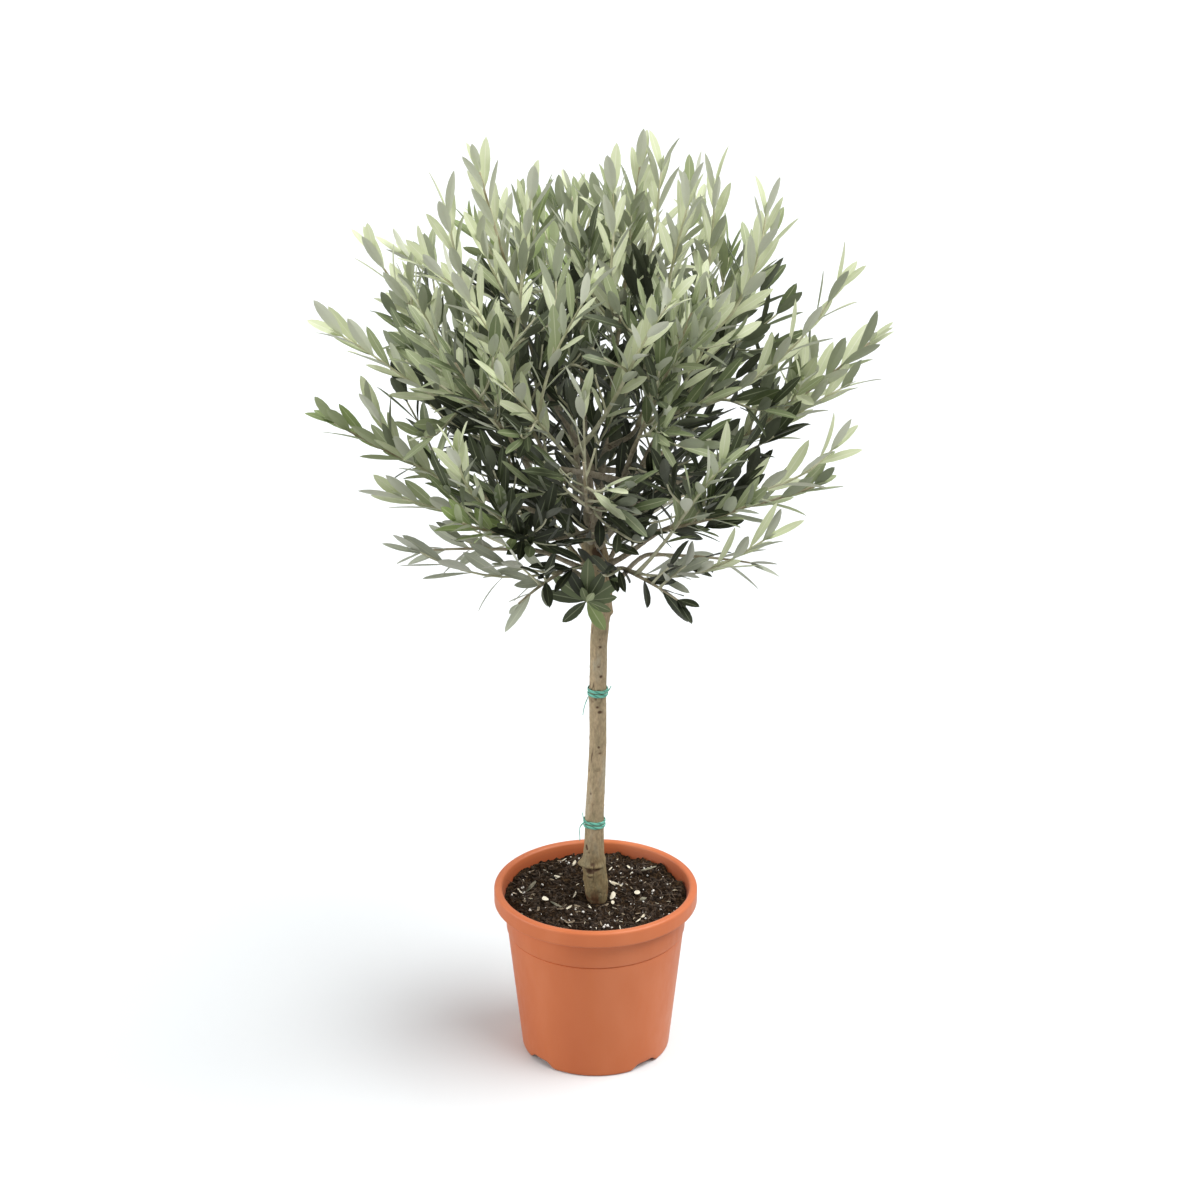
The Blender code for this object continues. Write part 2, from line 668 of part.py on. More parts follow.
def leaf_shape(root, way, face, length, width, grow=1.0):
    """A six-faced leaf: two ends, two edges and a raised midrib over a flat underside."""
    side = np.cross(way, face)
    middle = root + way * length * LEAF_WIDEST
    start = root - way * LEAF_SINK
    tip = root + way * length - face * length * LEAF_DROOP
    half = width / 2 * grow
    thick = LEAF_THICKNESS / 2 * grow
    edge = middle - face * thick
    vertices = [start, tip, edge + side * half, edge - side * half, middle + face * thick]
    faces = [(0, 2, 4), (4, 2, 1), (0, 4, 3), (3, 4, 1), (0, 3, 2), (2, 3, 1)]
    return Shape(vertices, faces)


class Growth:
    """One mass of foliage, grown by rule from its bough's tip."""

    def __init__(self, index, limbs, spaces, obstacles, neighbours):
        self.index = index
        self.mass = MASSES[index]
        self.spaces = spaces
        self.obstacles = obstacles
        self.neighbours = neighbours
        self.random = random.Random(CROWN_SEED + index)
        self.twigs = []
        self.leaves = []
        foot = limbs.paths[self.mass.name][-1]
        self.aim = ways(limbs.paths[self.mass.name])[-1]
        self.foot = foot + self.aim * GAP
        self.tip = FORK + heading(self.mass.azimuth, self.mass.elevation) * self.mass.reach

    def spread(self, amount):
        """A factor near one."""
        return 1.0 + self.random.uniform(-amount, amount)

    def free(self, shape, skipped):
        """True when a shape crosses no limb and nothing grown so far but what it springs from."""
        if any(shape.touches(obstacle) for obstacle in self.obstacles):
            return False
        if any(neighbour.crossed_by(shape) for neighbour in self.neighbours):
            return False
        grown = self.twigs + self.leaves
        return not any(shape.touches(other.shape) for other in grown if other not in skipped)

    def crossed_by(self, shape):
        """True when a shape of another mass crosses this one."""
        if np.any(shape.low > self.high) or np.any(self.low > shape.high):
            return False
        return any(shape.touches(sprout.shape) for sprout in self.twigs + self.leaves)

    def fits(self, shape):
        """True when a shape stays in the mass's space."""
        return self.spaces.holds(self.index, np.array(shape.vertices))

    def grow_stem(self):
        """The stem from the bough's tip to the furthest tip."""
        leaf_end = self.tip - unit(self.tip - self.foot) * LEAF_LENGTH * STEM_STOP
        ending = unit(unit(leaf_end - self.foot) + UP * self.mass.lift)
        points = bezier(self.foot, self.aim, leaf_end, ending, STEM_SEGMENTS + 1)
        radii = np.linspace(BOUGH_TIP_RADIUS, STEM_TIP_RADIUS, len(points))
        shape = Shape(*tube_mesh(points, radii, 3))
        self.twigs.append(Sprout(shape, points))

    def grow_side_twig(self, number):
        """One side twig, shortened until it fits its space."""
        step = (number + self.random.uniform(0.2, 0.8)) / self.mass.twigs
        share = SIDE_TWIG_FIRST + SIDE_TWIG_SPAN * step
        turn = number * GOLDEN_ANGLE + self.random.uniform(-SIDE_TWIG_TWIST, SIDE_TWIG_TWIST)
        lean = math.radians(self.random.uniform(*SIDE_TWIG_LEANS))
        length = SIDE_TWIG_LENGTH * (1.0 - SIDE_TWIG_LENGTH_LOST * share)
        length *= self.spread(SIDE_TWIG_VARIETY)
        stem = self.twigs[0]
        radii = np.linspace(TWIG_BASE_RADIUS, TWIG_TIP_RADIUS, TWIG_SEGMENTS + 1)
        start, way = place_on(stem.points, share)
        for nudge in SIDE_TWIG_TURNS:
            side = across(way, turn + nudge)
            leaving = unit(way * math.cos(lean) + side * math.sin(lean))
            for shrink in SIDE_TWIG_SIZES:
                reach = length * shrink
                if reach < SIDE_TWIG_SHORTEST:
                    continue
                end = start + unit(leaving + UP * SIDE_TWIG_RISE) * reach
                ending = unit(leaving + UP * SIDE_TWIG_UPTURN)
                points = bezier(start, leaving, end, ending, TWIG_SEGMENTS + 1)
                shape = Shape(*tube_mesh(points, radii, 3))
                leaf_room = end + leaving * LEAF_LENGTH * SIDE_TWIG_ROOM
                if not self.spaces.within_reach(self.index, leaf_room):
                    continue
                if self.fits(shape) and self.free(shape, [stem]):
                    self.twigs.append(Sprout(shape, points))
                    return

    def grow_leaf(self, twig, share, turn, lean, pair):
        """One leaf, tried at a few angles and sizes until it is clear."""
        root, way = place_on(twig.points, share)
        for shrink, nudge in LEAF_TRIES:
            angle = turn + nudge
            out = unit(way * math.cos(lean) + across(way, angle) * math.sin(lean))
            upward = way + UP * LEAF_FACE_UP
            face = unit(upward - out * np.dot(upward, out))
            length = LEAF_LENGTH * shrink * self.spread(LEAF_LENGTH_VARIETY)
            width = LEAF_WIDTH * math.sqrt(shrink) * self.spread(LEAF_WIDTH_VARIETY)
            shape = leaf_shape(root, out, face, length, width)
            tested = leaf_shape(root, out, face, length * LEAF_LENGTH_GROWTH, width, LEAF_GROWTH)
            if not self.spaces.within_reach(self.index, np.array(shape.vertices[1])):
                continue
            if self.fits(tested) and self.free(tested, [twig] + pair):
                leaf = Sprout(shape, twig=twig)
                self.leaves.append(leaf)
                pair.append(leaf)
                return

    def grow_leaves(self, twig):
        """Opposite pairs along a twig, each pair a quarter turn on, and a pair at its tip."""
        length = path_length(twig.points)
        bare = STEM_BARE_FOOT if twig is self.twigs[0] else TWIG_BARE_FOOT
        pairs = max(1, int(round((length - bare) / PAIR_SPACING)) + 1)
        turn = self.random.uniform(0, math.pi)
        for number in range(pairs):
            share = 1.0 if pairs == 1 else (bare + (length - bare) * number / (pairs - 1)) / length
            share = min(share, LAST_PAIR)
            lean = math.radians(LEAF_LEAN_AT_FOOT - LEAF_LEAN_LOST * share)
            lean *= self.spread(LEAF_LENGTH_VARIETY)
            pair = []
            for half in (0, 1):
                self.grow_leaf(twig, share, turn + half * math.pi, lean, pair)
            turn += math.pi / 2 + self.random.uniform(-PAIR_TWIST, PAIR_TWIST)

    def grow(self):
        """Stem, side twigs and then the leaves, from the tips inward."""
        self.grow_stem()
        for number in range(self.mass.twigs):
            self.grow_side_twig(number)
        for twig in self.twigs:
            self.grow_leaves(twig)
        grown = self.twigs + self.leaves
        self.low = np.min([sprout.shape.low for sprout in grown], axis=0)
        self.high = np.max([sprout.shape.high for sprout in grown], axis=0)

    def drop_nearest(self, place):
        """Leave out the leaf, or the twig with its leaves, that starts nearest to a place."""
        grown = self.leaves + self.twigs[1:]
        lost = min(grown, key=lambda sprout: np.linalg.norm(sprout.shape.vertices[0] - place))
        self.twigs = [twig for twig in self.twigs if twig is not lost]
        self.leaves = [leaf for leaf in self.leaves if leaf is not lost and leaf.twig is not lost]

    def build(self):
        """The mass as one joined solid; what spoils its closed surface is left out."""
        foliage = material("olive_leaf", (0.22, 0.27, 0.16), 0.55)
        stem = self.twigs[0].shape
        faults = [None]
        while faults:
            piece = make_object("foliage_" + self.mass.name, stem.vertices, stem.faces, foliage)
            parts = self.twigs[1:] + self.leaves
            others = [make_object("part", part.shape.vertices, part.shape.faces) for part in parts]
            faults = combine(piece, "UNION", others)
            if faults:
                bpy.data.objects.remove(piece)
                self.drop_nearest(np.array(faults[0]))


def make_crown(limbs):
    """Every mass of foliage, each clear of all limbs and of its neighbours."""
    spaces = Spaces(limbs)
    obstacles = [Shape(*trunk_mesh(LIMB_CLEARANCE))]
    obstacles += [Shape(*limbs.mesh(mass.name, LIMB_CLEARANCE)) for mass in MASSES]
    crown = []
    for index, mass in enumerate(MASSES):
        others = obstacles[:index + 1] + obstacles[index + 2:]
        growth = Growth(index, limbs, spaces, others, crown)
        growth.grow()
        growth.build()
        crown.append(growth)


def main():
    """Clear the scene and model the tree."""
    for old in list(bpy.data.objects):
        bpy.data.objects.remove(old)
    make_pot()
    make_soil()
    limbs = make_limbs()
    for name, height in TIE_HEIGHTS.items():
        make_tie(name, height)
    make_crown(limbs)


main()
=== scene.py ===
"""Potted olive tree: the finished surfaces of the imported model.

Frame: metres, +Z up, origin under the middle of the pot, -Y is the front of the tree.
The pot, peat, trunk and ties are worked-out surfaces.  The crown grows again by the rule of
the solids: each mass has a stem, side twigs and opposite leaves inside its own space, and is
carried on here to finer twigs and to leaves of their real size.
"""

import json
import logging
import math
import random
from dataclasses import dataclass, field
from enum import Enum

import bpy
import numpy as np
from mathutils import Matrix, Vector
from mathutils.bvhtree import BVHTree

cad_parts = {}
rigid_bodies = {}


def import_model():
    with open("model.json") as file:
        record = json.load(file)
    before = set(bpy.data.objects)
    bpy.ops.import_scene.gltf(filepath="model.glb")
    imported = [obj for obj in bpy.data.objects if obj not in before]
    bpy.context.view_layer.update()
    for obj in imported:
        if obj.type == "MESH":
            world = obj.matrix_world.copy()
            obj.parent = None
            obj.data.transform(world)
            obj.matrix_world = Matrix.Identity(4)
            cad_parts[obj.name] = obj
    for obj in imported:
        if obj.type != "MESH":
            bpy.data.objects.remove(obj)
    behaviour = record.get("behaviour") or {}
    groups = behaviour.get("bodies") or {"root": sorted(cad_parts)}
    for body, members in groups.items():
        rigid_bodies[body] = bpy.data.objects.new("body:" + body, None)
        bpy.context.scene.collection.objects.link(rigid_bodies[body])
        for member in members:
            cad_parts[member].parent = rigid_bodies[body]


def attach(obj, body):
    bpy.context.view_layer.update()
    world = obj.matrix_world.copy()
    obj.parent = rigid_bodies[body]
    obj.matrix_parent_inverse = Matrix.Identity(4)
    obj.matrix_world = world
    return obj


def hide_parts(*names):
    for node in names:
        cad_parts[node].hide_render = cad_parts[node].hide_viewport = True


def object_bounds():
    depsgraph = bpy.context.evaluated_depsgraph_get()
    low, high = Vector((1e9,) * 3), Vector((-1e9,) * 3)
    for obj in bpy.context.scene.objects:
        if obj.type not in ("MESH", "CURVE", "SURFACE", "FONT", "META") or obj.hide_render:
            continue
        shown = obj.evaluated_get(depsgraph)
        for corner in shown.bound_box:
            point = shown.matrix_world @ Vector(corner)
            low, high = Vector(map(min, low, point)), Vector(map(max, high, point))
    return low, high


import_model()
CAD_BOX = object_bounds()
BODY = "root"
UP = np.array((0.0, 0.0, 1.0))
FORK = np.array((-0.004, 0.0, 0.556))
SOIL_LEVEL = 0.1665
log = logging.getLogger("olive")

Array = np.ndarray
Triple = tuple[float, float, float]
Socket = bpy.types.NodeSocket
Piece = bpy.types.Object
Material = bpy.types.Material


# ---- numbers and paths
def unit(vectors: Array) -> Array:
    """The vectors at length one, along the last axis."""
    return vectors / np.linalg.norm(vectors, axis=-1, keepdims=True)


def heading(azimuth: float, elevation: float) -> Array:
    """Unit vector at an azimuth (0 is +X, 90 is +Y) and an elevation, in degrees."""
    a, e = math.radians(azimuth), math.radians(elevation)
    return np.array((math.cos(a) * math.cos(e), math.sin(a) * math.cos(e), math.sin(e)))


def across(direction: Array, angle: float) -> Array:
    """Unit vector square to a direction, at an angle round it."""
    first = unit(np.cross(direction, UP if abs(direction[2]) < 0.9 else np.array((1.0, 0.0, 0.0))))
    return first * math.cos(angle) + np.cross(direction, first) * math.sin(angle)


def circle(count: int) -> Array:
    """Even angles once round."""
    return np.arange(count) * 2 * math.pi / count


def outward(angles: Array) -> Array:
    """Level unit vectors at angles round +Z."""
    return np.stack((np.cos(angles), np.sin(angles), np.zeros_like(angles)), axis=-1)


def distances(points: Array) -> Array:
    """How far along a path each of its points lies."""
    return np.concatenate(([0.0], np.cumsum(np.linalg.norm(np.diff(points, axis=0), axis=1))))


def read_along(at: Array | float, lengths: Array, rows: Array) -> Array:
    """The rows of a path, read between its points at distances along it."""
    return np.stack([np.interp(at, lengths, column) for column in rows.T], axis=-1)


def bezier(
    start: Array, start_way: Array, end: Array, end_way: Array, count: int, reach: float = 0.36
) -> Array:
    """Points of a cubic curve that leaves and arrives along two ways.

    Args:
        start, end: the curve's ends.
        start_way, end_way: unit tangents there.
        count: how many points.
        reach: the handles' length as a share of the span.

    Returns:
        The points, one row each.
    """
    span = np.linalg.norm(end - start) * reach
    a = start + start_way * span
    b = end - end_way * span
    t = np.linspace(0.0, 1.0, count)[:, None]
    return (1 - t) ** 3 * start + 3 * (1 - t) ** 2 * t * a + 3 * (1 - t) * t**2 * b + t**3 * end


def through(points: tuple[Triple | Array, ...], count: int) -> Array:
    """The cubic that runs through four points.

    Args:
        points: the four, each met at its share of the way from point to point.
        count: how many points to give.

    Returns:
        Points along the cubic.
    """
    given = np.array(points)
    share = distances(given)
    terms = np.linalg.solve(np.vander(share / share[-1], 4), given)
    return np.vander(np.linspace(0.0, 1.0, count), 4) @ terms


def ways(points: Array) -> Array:
    """Unit tangent at each point of a path."""
    return unit(np.gradient(points, axis=0))


def place_on(points: Array, share: float) -> tuple[Array, Array]:
    """Where a share of a path's length lies.

    Args:
        points: the path.
        share: 0 at its foot, 1 at its tip.

    Returns:
        The point, and the unit tangent there.
    """
    lengths = distances(points)
    at = share * lengths[-1]
    return read_along(at, lengths, points), unit(read_along(at, lengths, ways(points)))


def path_length(points: Array) -> float:
    """Length of a path."""
    return float(np.linalg.norm(np.diff(points, axis=0), axis=1).sum())


def smooth_step(value: Array, low: float, high: float) -> Array:
    """0 below low, 1 above high, with an even S between: 3t squared minus 2t cubed."""
    t = np.clip((value - low) / (high - low), 0.0, 1.0)
    return t * t * (3.0 - 2.0 * t)


def hump(value: Array, centre: float, width: float) -> Array:
    """A bell of height one: e to the minus square of the distance in widths."""
    return np.exp(-(((value - centre) / width) ** 2))


def lattice_hash(corners: Array, seed: int) -> Array:
    """A repeatable number for each corner of a lattice.

    Args:
        corners: whole-number places.
        seed: which set of numbers.

    Returns:
        Their products with large odd numbers, mixed by shifts, as shares from 0 to 1.
    """
    mixed = corners[..., 0] * 374761393 + corners[..., 1] * 668265263 + corners[..., 2] * 2147483647
    mixed = (mixed + seed * 1442695041).astype(np.int64) & 0xFFFFFFFF
    mixed = ((mixed ^ (mixed >> 13)) * 1274126177) & 0xFFFFFFFF
    return ((mixed ^ (mixed >> 16)) & 0xFFFF) / 65535.0


def value_noise(points: Array, seed: int) -> Array:
    """Smooth noise: the corner numbers of a unit lattice, blended by a quintic step.

    Args:
        points: places, in an array of any shape that ends in the three axes.
        seed: which noise.

    Returns:
        Numbers from 0 to 1.
    """
    base = np.floor(points).astype(np.int64)
    t = points - base
    t = t * t * t * (t * (t * 6.0 - 15.0) + 10.0)
    total = np.zeros(points.shape[:-1])
    for corner in np.ndindex(2, 2, 2):
        weight = np.where(corner, t, 1.0 - t).prod(axis=-1)
        total += weight * lattice_hash(base + np.array(corner), seed)
    return total


def ridges(points: Array, seed: int) -> Array:
    """Value noise folded into ridges: 1 less its distance from one half, doubled."""
    return 1.0 - np.abs(2.0 * value_noise(points, seed) - 1.0)


def layered_noise(points: Array, seed: int, layers: int = 3) -> Array:
    """Noise with finer layers added, each twice as fine and half as strong.

    Args:
        points: places, as for value_noise.
        seed: which noise.
        layers: how many layers.

    Returns:
        Numbers from 0 to 1.
    """
    total = np.zeros(points.shape[:-1])
    weight = 1.0
    sum_of_weights = 0.0
    for layer in range(layers):
        total += weight * value_noise(points * 2.0**layer + 17.3 * layer, seed + layer)
        sum_of_weights += weight
        weight *= 0.5
    return total / sum_of_weights


# ---- meshes
def closed_grid(rows: int, columns: int) -> list[Array]:
    """The faces of a grid whose columns run round and whose ends are shut.

    Args:
        rows, columns: its size; points are numbered row by row.

    Returns:
        The quads, then the first and the last row as a face each.
    """
    row = np.arange(rows - 1)[:, None] * columns
    one = np.arange(columns)
    two = (one + 1) % columns
    quads = np.stack((row + one, row + two, row + columns + two, row + columns + one), axis=-1)
    return [quads.reshape(-1, 4), np.stack((one[::-1], (rows - 1) * columns + one))]


def repeat_faces(faces: Array, copies: int, stride: int) -> Array:
    """The same faces for many copies of a shape whose points follow each other."""
    offsets = np.arange(copies)[:, None, None] * stride
    return (faces[None] + offsets).reshape(-1, faces.shape[1])


def make_piece(
    name: str, vertices: Array, faces: list[Array], finishes: list[Material],
    slots: list[Array] | None = None, sharp: float | None = None,
) -> Piece:
    """A mesh object at the origin, with smooth faces.

    Args:
        name: the piece's name.
        vertices: points, in an array of any shape that ends in the three axes.
        faces: arrays of faces, each array with one number of corners.
        finishes: its materials.
        slots: for each array of faces, the material's number of each face.
        sharp: edges over this angle, in degrees, stay sharp.

    Returns:
        The object.
    """
    mesh = bpy.data.meshes.new(name)
    loops = np.concatenate([part.reshape(-1) for part in faces]).astype(np.int32)
    totals = np.concatenate([np.full(len(part), part.shape[1]) for part in faces]).astype(np.int32)
    starts = (np.cumsum(totals) - totals).astype(np.int32)
    points = np.asarray(vertices, np.float32).reshape(-1)
    mesh.vertices.add(len(points) // 3)
    mesh.vertices.foreach_set("co", points)
    mesh.loops.add(len(loops))
    mesh.loops.foreach_set("vertex_index", loops)
    mesh.polygons.add(len(totals))
    mesh.polygons.foreach_set("loop_start", starts)
    mesh.update(calc_edges=True)
    for finish in finishes:
        mesh.materials.append(finish)
    if slots is not None:
        mesh.polygons.foreach_set("material_index", np.concatenate(slots).astype(np.int32))
    mesh.shade_smooth()
    if sharp is not None:
        mesh.set_sharp_from_angle(angle=math.radians(sharp))
    mesh.validate()
    piece = bpy.data.objects.new(name, mesh)
    bpy.context.scene.collection.objects.link(piece)
    return piece


def set_attribute(piece: Piece, name: str, values: Array) -> None:
    """One number a point, for a finish that follows the surface."""
    attribute = piece.data.attributes.new(name, "FLOAT", "POINT")
    attribute.data.foreach_set("value", np.asarray(values, np.float32).reshape(-1))


def tube_rings(paths: Array, radii: Array, sides: int) -> Array:
    """Rings of points round many paths at once.

    The ring's frame is carried along each path with no twist: at each point the last
    direction is made square to the new tangent.

    Args:
        paths: (tubes, points, 3) centre lines.
        radii: (tubes, points) radii.
        sides: points a ring.

    Returns:
        (tubes, points, sides, 3) positions.
    """
    tangents = unit(np.gradient(paths, axis=1))
    helper = np.where(np.abs(tangents[:, :1, 2:3]) < 0.9, UP, np.array((1.0, 0.0, 0.0)))[:, 0]
    turn = unit(np.cross(tangents[:, 0], helper))
    angles = circle(sides)
    rings = np.empty((*paths.shape[:2], sides, 3))
    for step in range(paths.shape[1]):
        way = tangents[:, step]
        turn = unit(turn - way * (turn * way).sum(axis=1, keepdims=True))
        other = np.cross(way, turn)
        out = turn[:, None] * np.cos(angles)[:, None] + other[:, None] * np.sin(angles)[:, None]
        rings[:, step] = paths[:, step, None] + out * radii[:, step, None, None]
    return rings


def tube_faces(tubes: int, points: int, sides: int) -> list[Array]:
    """Side quads and end caps of tubes laid out by tube_rings."""
    return [repeat_faces(part, tubes, points * sides) for part in closed_grid(points, sides)]


def turned_surface(profile: Array, segments: int) -> Array:
    """A profile carried round +Z.

    Args:
        profile: rows of radius and height.
        segments: points a ring.

    Returns:
        Rings of points: radius times cosine and sine of the angle, and the height.
    """
    angles = circle(segments)
    x = profile[:, 0, None] * np.cos(angles)
    y = profile[:, 0, None] * np.sin(angles)
    z = np.repeat(profile[:, 1, None], segments, axis=1)
    return np.stack((x, y, z), axis=-1)


# ---- finishes
class NodeBoard:
    """A node tree, and short ways to add to it."""

    def __init__(self, owner: Material | bpy.types.World) -> None:
        """Take up the node tree.

        Args:
            owner: the material or world that has it.
        """
        owner.use_nodes = True
        self.nodes = owner.node_tree.nodes
        self.links = owner.node_tree.links

    def node(self, kind: str, given: dict[int | str, object], **settings: str) -> bpy.types.Node:
        """A new node.

        Args:
            kind: the node's type, after the words that all shader nodes share.
            given: a socket to link or a value to set, for each input.
            settings: the node's own options.

        Returns:
            The node.
        """
        node = self.nodes.new("ShaderNode" + kind)
        for name, value in settings.items():
            setattr(node, name, value)
        for key, value in given.items():
            if isinstance(value, Socket):
                self.links.new(value, node.inputs[key])
            else:
                node.inputs[key].default_value = value
        return node

    def noise(self, scale: float, detail: float = 3.0, stretch: Triple = (1.0, 1.0, 1.0)) -> Socket:
        """Noise over the object.

        Args:
            scale: how fine it is, per metre.
            detail: how many finer layers it has.
            stretch: a further scale for each axis.

        Returns:
            The noise, from 0 to 1.
        """
        where = self.node("TexCoord", {}).outputs["Object"]
        place = self.node("Mapping", {"Scale": stretch, "Vector": where}).outputs["Vector"]
        given = {"Scale": scale, "Detail": detail, "Vector": place}
        return self.node("TexNoise", given).outputs["Fac"]

    def attribute(self, name: str) -> Socket:
        """The number that the mesh holds at each point under a name."""
        return self.node("Attribute", {}, attribute_name=name).outputs["Fac"]

    def ramp(self, factor: Socket, stops: tuple[tuple[float, Triple], ...]) -> Socket:
        """Colours laid out along a factor.

        Args:
            factor: where to read them.
            stops: each colour with its place on the factor.

        Returns:
            The colour.
        """
        node = self.node("ValToRGB", {"Fac": factor})
        elements = node.color_ramp.elements
        while len(elements) < len(stops):
            elements.new(0.5)
        for element, (position, colour) in zip(elements, stops):
            element.position = position
            element.color = (*colour, 1.0)
        return node.outputs["Color"]

    def mix(
        self, factor: Socket | float, one: Socket | Triple, two: Socket | Triple, blend: str = "MIX"
    ) -> Socket:
        """Two colours mixed.

        Args:
            factor: 0 gives the first, 1 the second.
            one, two: the colours.
            blend: the way they are mixed.

        Returns:
            The colour.
        """
        given = {0: factor}
        for key, colour in ((6, one), (7, two)):
            given[key] = (*colour, 1.0) if isinstance(colour, tuple) else colour
        return self.node("Mix", given, data_type="RGBA", blend_type=blend).outputs[2]

    def spread(self, value: Socket, low: float, high: float, to_low: float, to_high: float) -> Socket:
        """A value moved from one range, low to high, to another, held at the ends."""
        return self.node("MapRange", {0: value, 1: low, 2: high, 3: to_low, 4: to_high}).outputs[0]

    def sum(self, one: Socket, two: Socket, share: float) -> Socket:
        """One value plus a share of another."""
        return self.node("Math", {0: two, 1: share, 2: one}, operation="MULTIPLY_ADD").outputs[0]


class Finish(NodeBoard):
    """A new dielectric material with its Principled shader."""

    def __init__(self, name: str, roughness: float) -> None:
        """Start the plain material.

        Args:
            name: its name.
            roughness: of the whole surface.
        """
        self.material = bpy.data.materials.new(name)
        super().__init__(self.material)
        self.shader = self.nodes["Principled BSDF"]
        self.shader.inputs["Roughness"].default_value = roughness
        self.shader.inputs["Metallic"].default_value = 0.0

    def bump(self, height: Socket, depth: float, strength: float = 1.0) -> None:
        """Fine relief of a depth in metres on the shader's normal."""
        node = self.node("Bump", {"Distance": depth, "Strength": strength, "Height": height})
        self.links.new(node.outputs["Normal"], self.shader.inputs["Normal"])

    def colour(self, source: Socket) -> None:
        """The base colour from a socket."""
        self.links.new(source, self.shader.inputs["Base Color"])

    def roughness(self, source: Socket) -> None:
        """The roughness from a socket."""
        self.links.new(source, self.shader.inputs["Roughness"])


@dataclass(frozen=True)
class TerracottaPlastic:
    """Moulded polypropylene of a nursery pot: satin, faintly mottled, with a fine mould grain."""

    base: Triple = (0.632, 0.170, 0.054)
    pale: Triple = (0.69, 0.210, 0.082)
    deep: Triple = (0.59, 0.148, 0.046)
    # painted shade: a darker, deeper orange down the inside of the pot
    inside_shade: Triple = (0.39, 0.082, 0.022)
    shine: float = 0.46

    def material(self) -> Material:
        """Mottled colour, painted shade on the inside, scuffed shine and a fine grain.

        Returns:
            The material.
        """
        board = Finish("terracotta_plastic_finish", self.shine)
        board.shader.inputs["Sheen Weight"].default_value = 0.14
        board.shader.inputs["Sheen Roughness"].default_value = 0.4
        cloud = board.noise(14.0, 2.0, (1.0, 1.0, 0.45))
        body = board.ramp(cloud, ((0.30, self.deep), (0.52, self.base), (0.74, self.pale)))
        # painted shade on the inside wall, where the attribute inside grows
        board.colour(board.mix(board.attribute("inside"), body, self.inside_shade))
        scuff = board.noise(160.0, 3.0, (1.0, 1.0, 0.35))
        board.roughness(board.spread(scuff, 0.35, 0.7, self.shine - 0.05, self.shine + 0.09))
        grain = board.sum(board.noise(900.0, 2.0), board.noise(60.0, 1.0), 0.6)
        board.bump(grain, 0.00006, 0.5)
        return board.material


@dataclass(frozen=True)
class Peat:
    """Moist peat: near black, with brown crumbs."""

    dark: Triple = (0.005, 0.003, 0.0018)
    mid: Triple = (0.019, 0.0105, 0.0050)
    pale: Triple = (0.092, 0.056, 0.027)

    def material(self) -> Material:
        """Dark colours along two noises, under coarse relief.

        Returns:
            The material.
        """
        board = Finish("peat_finish", 0.93)
        crumbs = board.sum(board.noise(420.0, 5.0), board.noise(60.0, 2.0), 0.35)
        stops = ((0.45, self.dark), (0.68, self.mid), (0.95, self.pale))
        board.colour(board.ramp(crumbs, stops))
        board.bump(board.noise(700.0, 4.0), 0.0009, 0.9)
        board.shader.inputs["Specular IOR Level"].default_value = 0.12
        return board.material


@dataclass(frozen=True)
class LitterFinish:
    """A crumb, chip or fibre in the soil: one colour with darker flecks."""

    name: str
    pale: Triple
    dark: Triple
    scale: float = 300.0
    roughness: float = 0.8

    def material(self) -> Material:
        """Two colours along one noise.

        Returns:
            The material.
        """
        board = Finish(self.name, self.roughness)
        flecks = board.noise(self.scale, 3.0)
        board.colour(board.ramp(flecks, ((0.32, self.dark), (0.62, self.pale))))
        board.bump(flecks, 0.0003, 0.7)
        return board.material


@dataclass(frozen=True)
class Bark:
    """Olive bark: grey-tan, mottled with grey and green, darker in its cracks and sunken marks as their
    darker bark and as painted shade, with painted shade low on the trunk and under the crown.
    """

    name: str = "bark_finish"
    tan: Triple = (0.512, 0.396, 0.245)
    grey: Triple = (0.494, 0.428, 0.299)
    # dark: the colour of the cracks and sunken marks, their darker bark and painted shade
    dark: Triple = (0.110, 0.066, 0.038)
    moss: Triple = (0.366, 0.299, 0.178)
    shade: Triple = (0.52, 0.50, 0.39)
    wet: Triple = (0.60, 0.36, 0.30)

    def material(self) -> Material:
        """Mottle, streaks and marks; the mesh's own relief darkens the cracks and sunken marks, as their
        darker bark and as painted shade.

        Returns:
            The material.
        """
        board = Finish(self.name, 0.86)
        mottle = board.noise(70.0, 4.0, (1.0, 1.0, 0.4))
        body = board.ramp(mottle, ((0.34, self.moss), (0.50, self.tan), (0.68, self.grey)))
        streak = board.spread(board.noise(520.0, 5.0, (1.0, 1.0, 0.42)), 0.32, 0.66, 0.68, 1.0)
        streaks = board.ramp(streak, ((0.0, (0.0, 0.0, 0.0)), (1.0, (1.0, 1.0, 1.0))))
        body = board.mix(1.0, body, streaks, "MULTIPLY")
        body = board.mix(board.attribute("low"), body, self.shade, "MULTIPLY")
        body = board.mix(board.attribute("foot"), body, self.wet, "MULTIPLY")
        # painted shade, with the cracks' darker bark, where the relief sinks
        cracks = board.spread(board.attribute("relief"), -0.85, -0.25, 1.0, 0.0)
        board.colour(board.mix(cracks, body, self.dark))
        fine = board.sum(board.noise(900.0, 4.0, (1.0, 1.0, 0.3)), board.noise(2600.0, 2.0), 0.4)
        board.bump(fine, 0.00035, 0.8)
        board.shader.inputs["Specular IOR Level"].default_value = 0.3
        return board.material


@dataclass(frozen=True)
class TwigSkin:
    """The skin of a young shoot or a ripened twig."""

    name: str
    pale: Triple
    deep: Triple

    def material(self) -> Material:
        """Two colours along one noise.

        Returns:
            The material.
        """
        board = Finish(self.name, 0.75)
        board.colour(board.ramp(board.noise(90.0, 3.0), ((0.35, self.deep), (0.65, self.pale))))
        board.bump(board.noise(1500.0, 3.0), 0.0002, 0.6)
        board.shader.inputs["Specular IOR Level"].default_value = 0.3
        return board.material


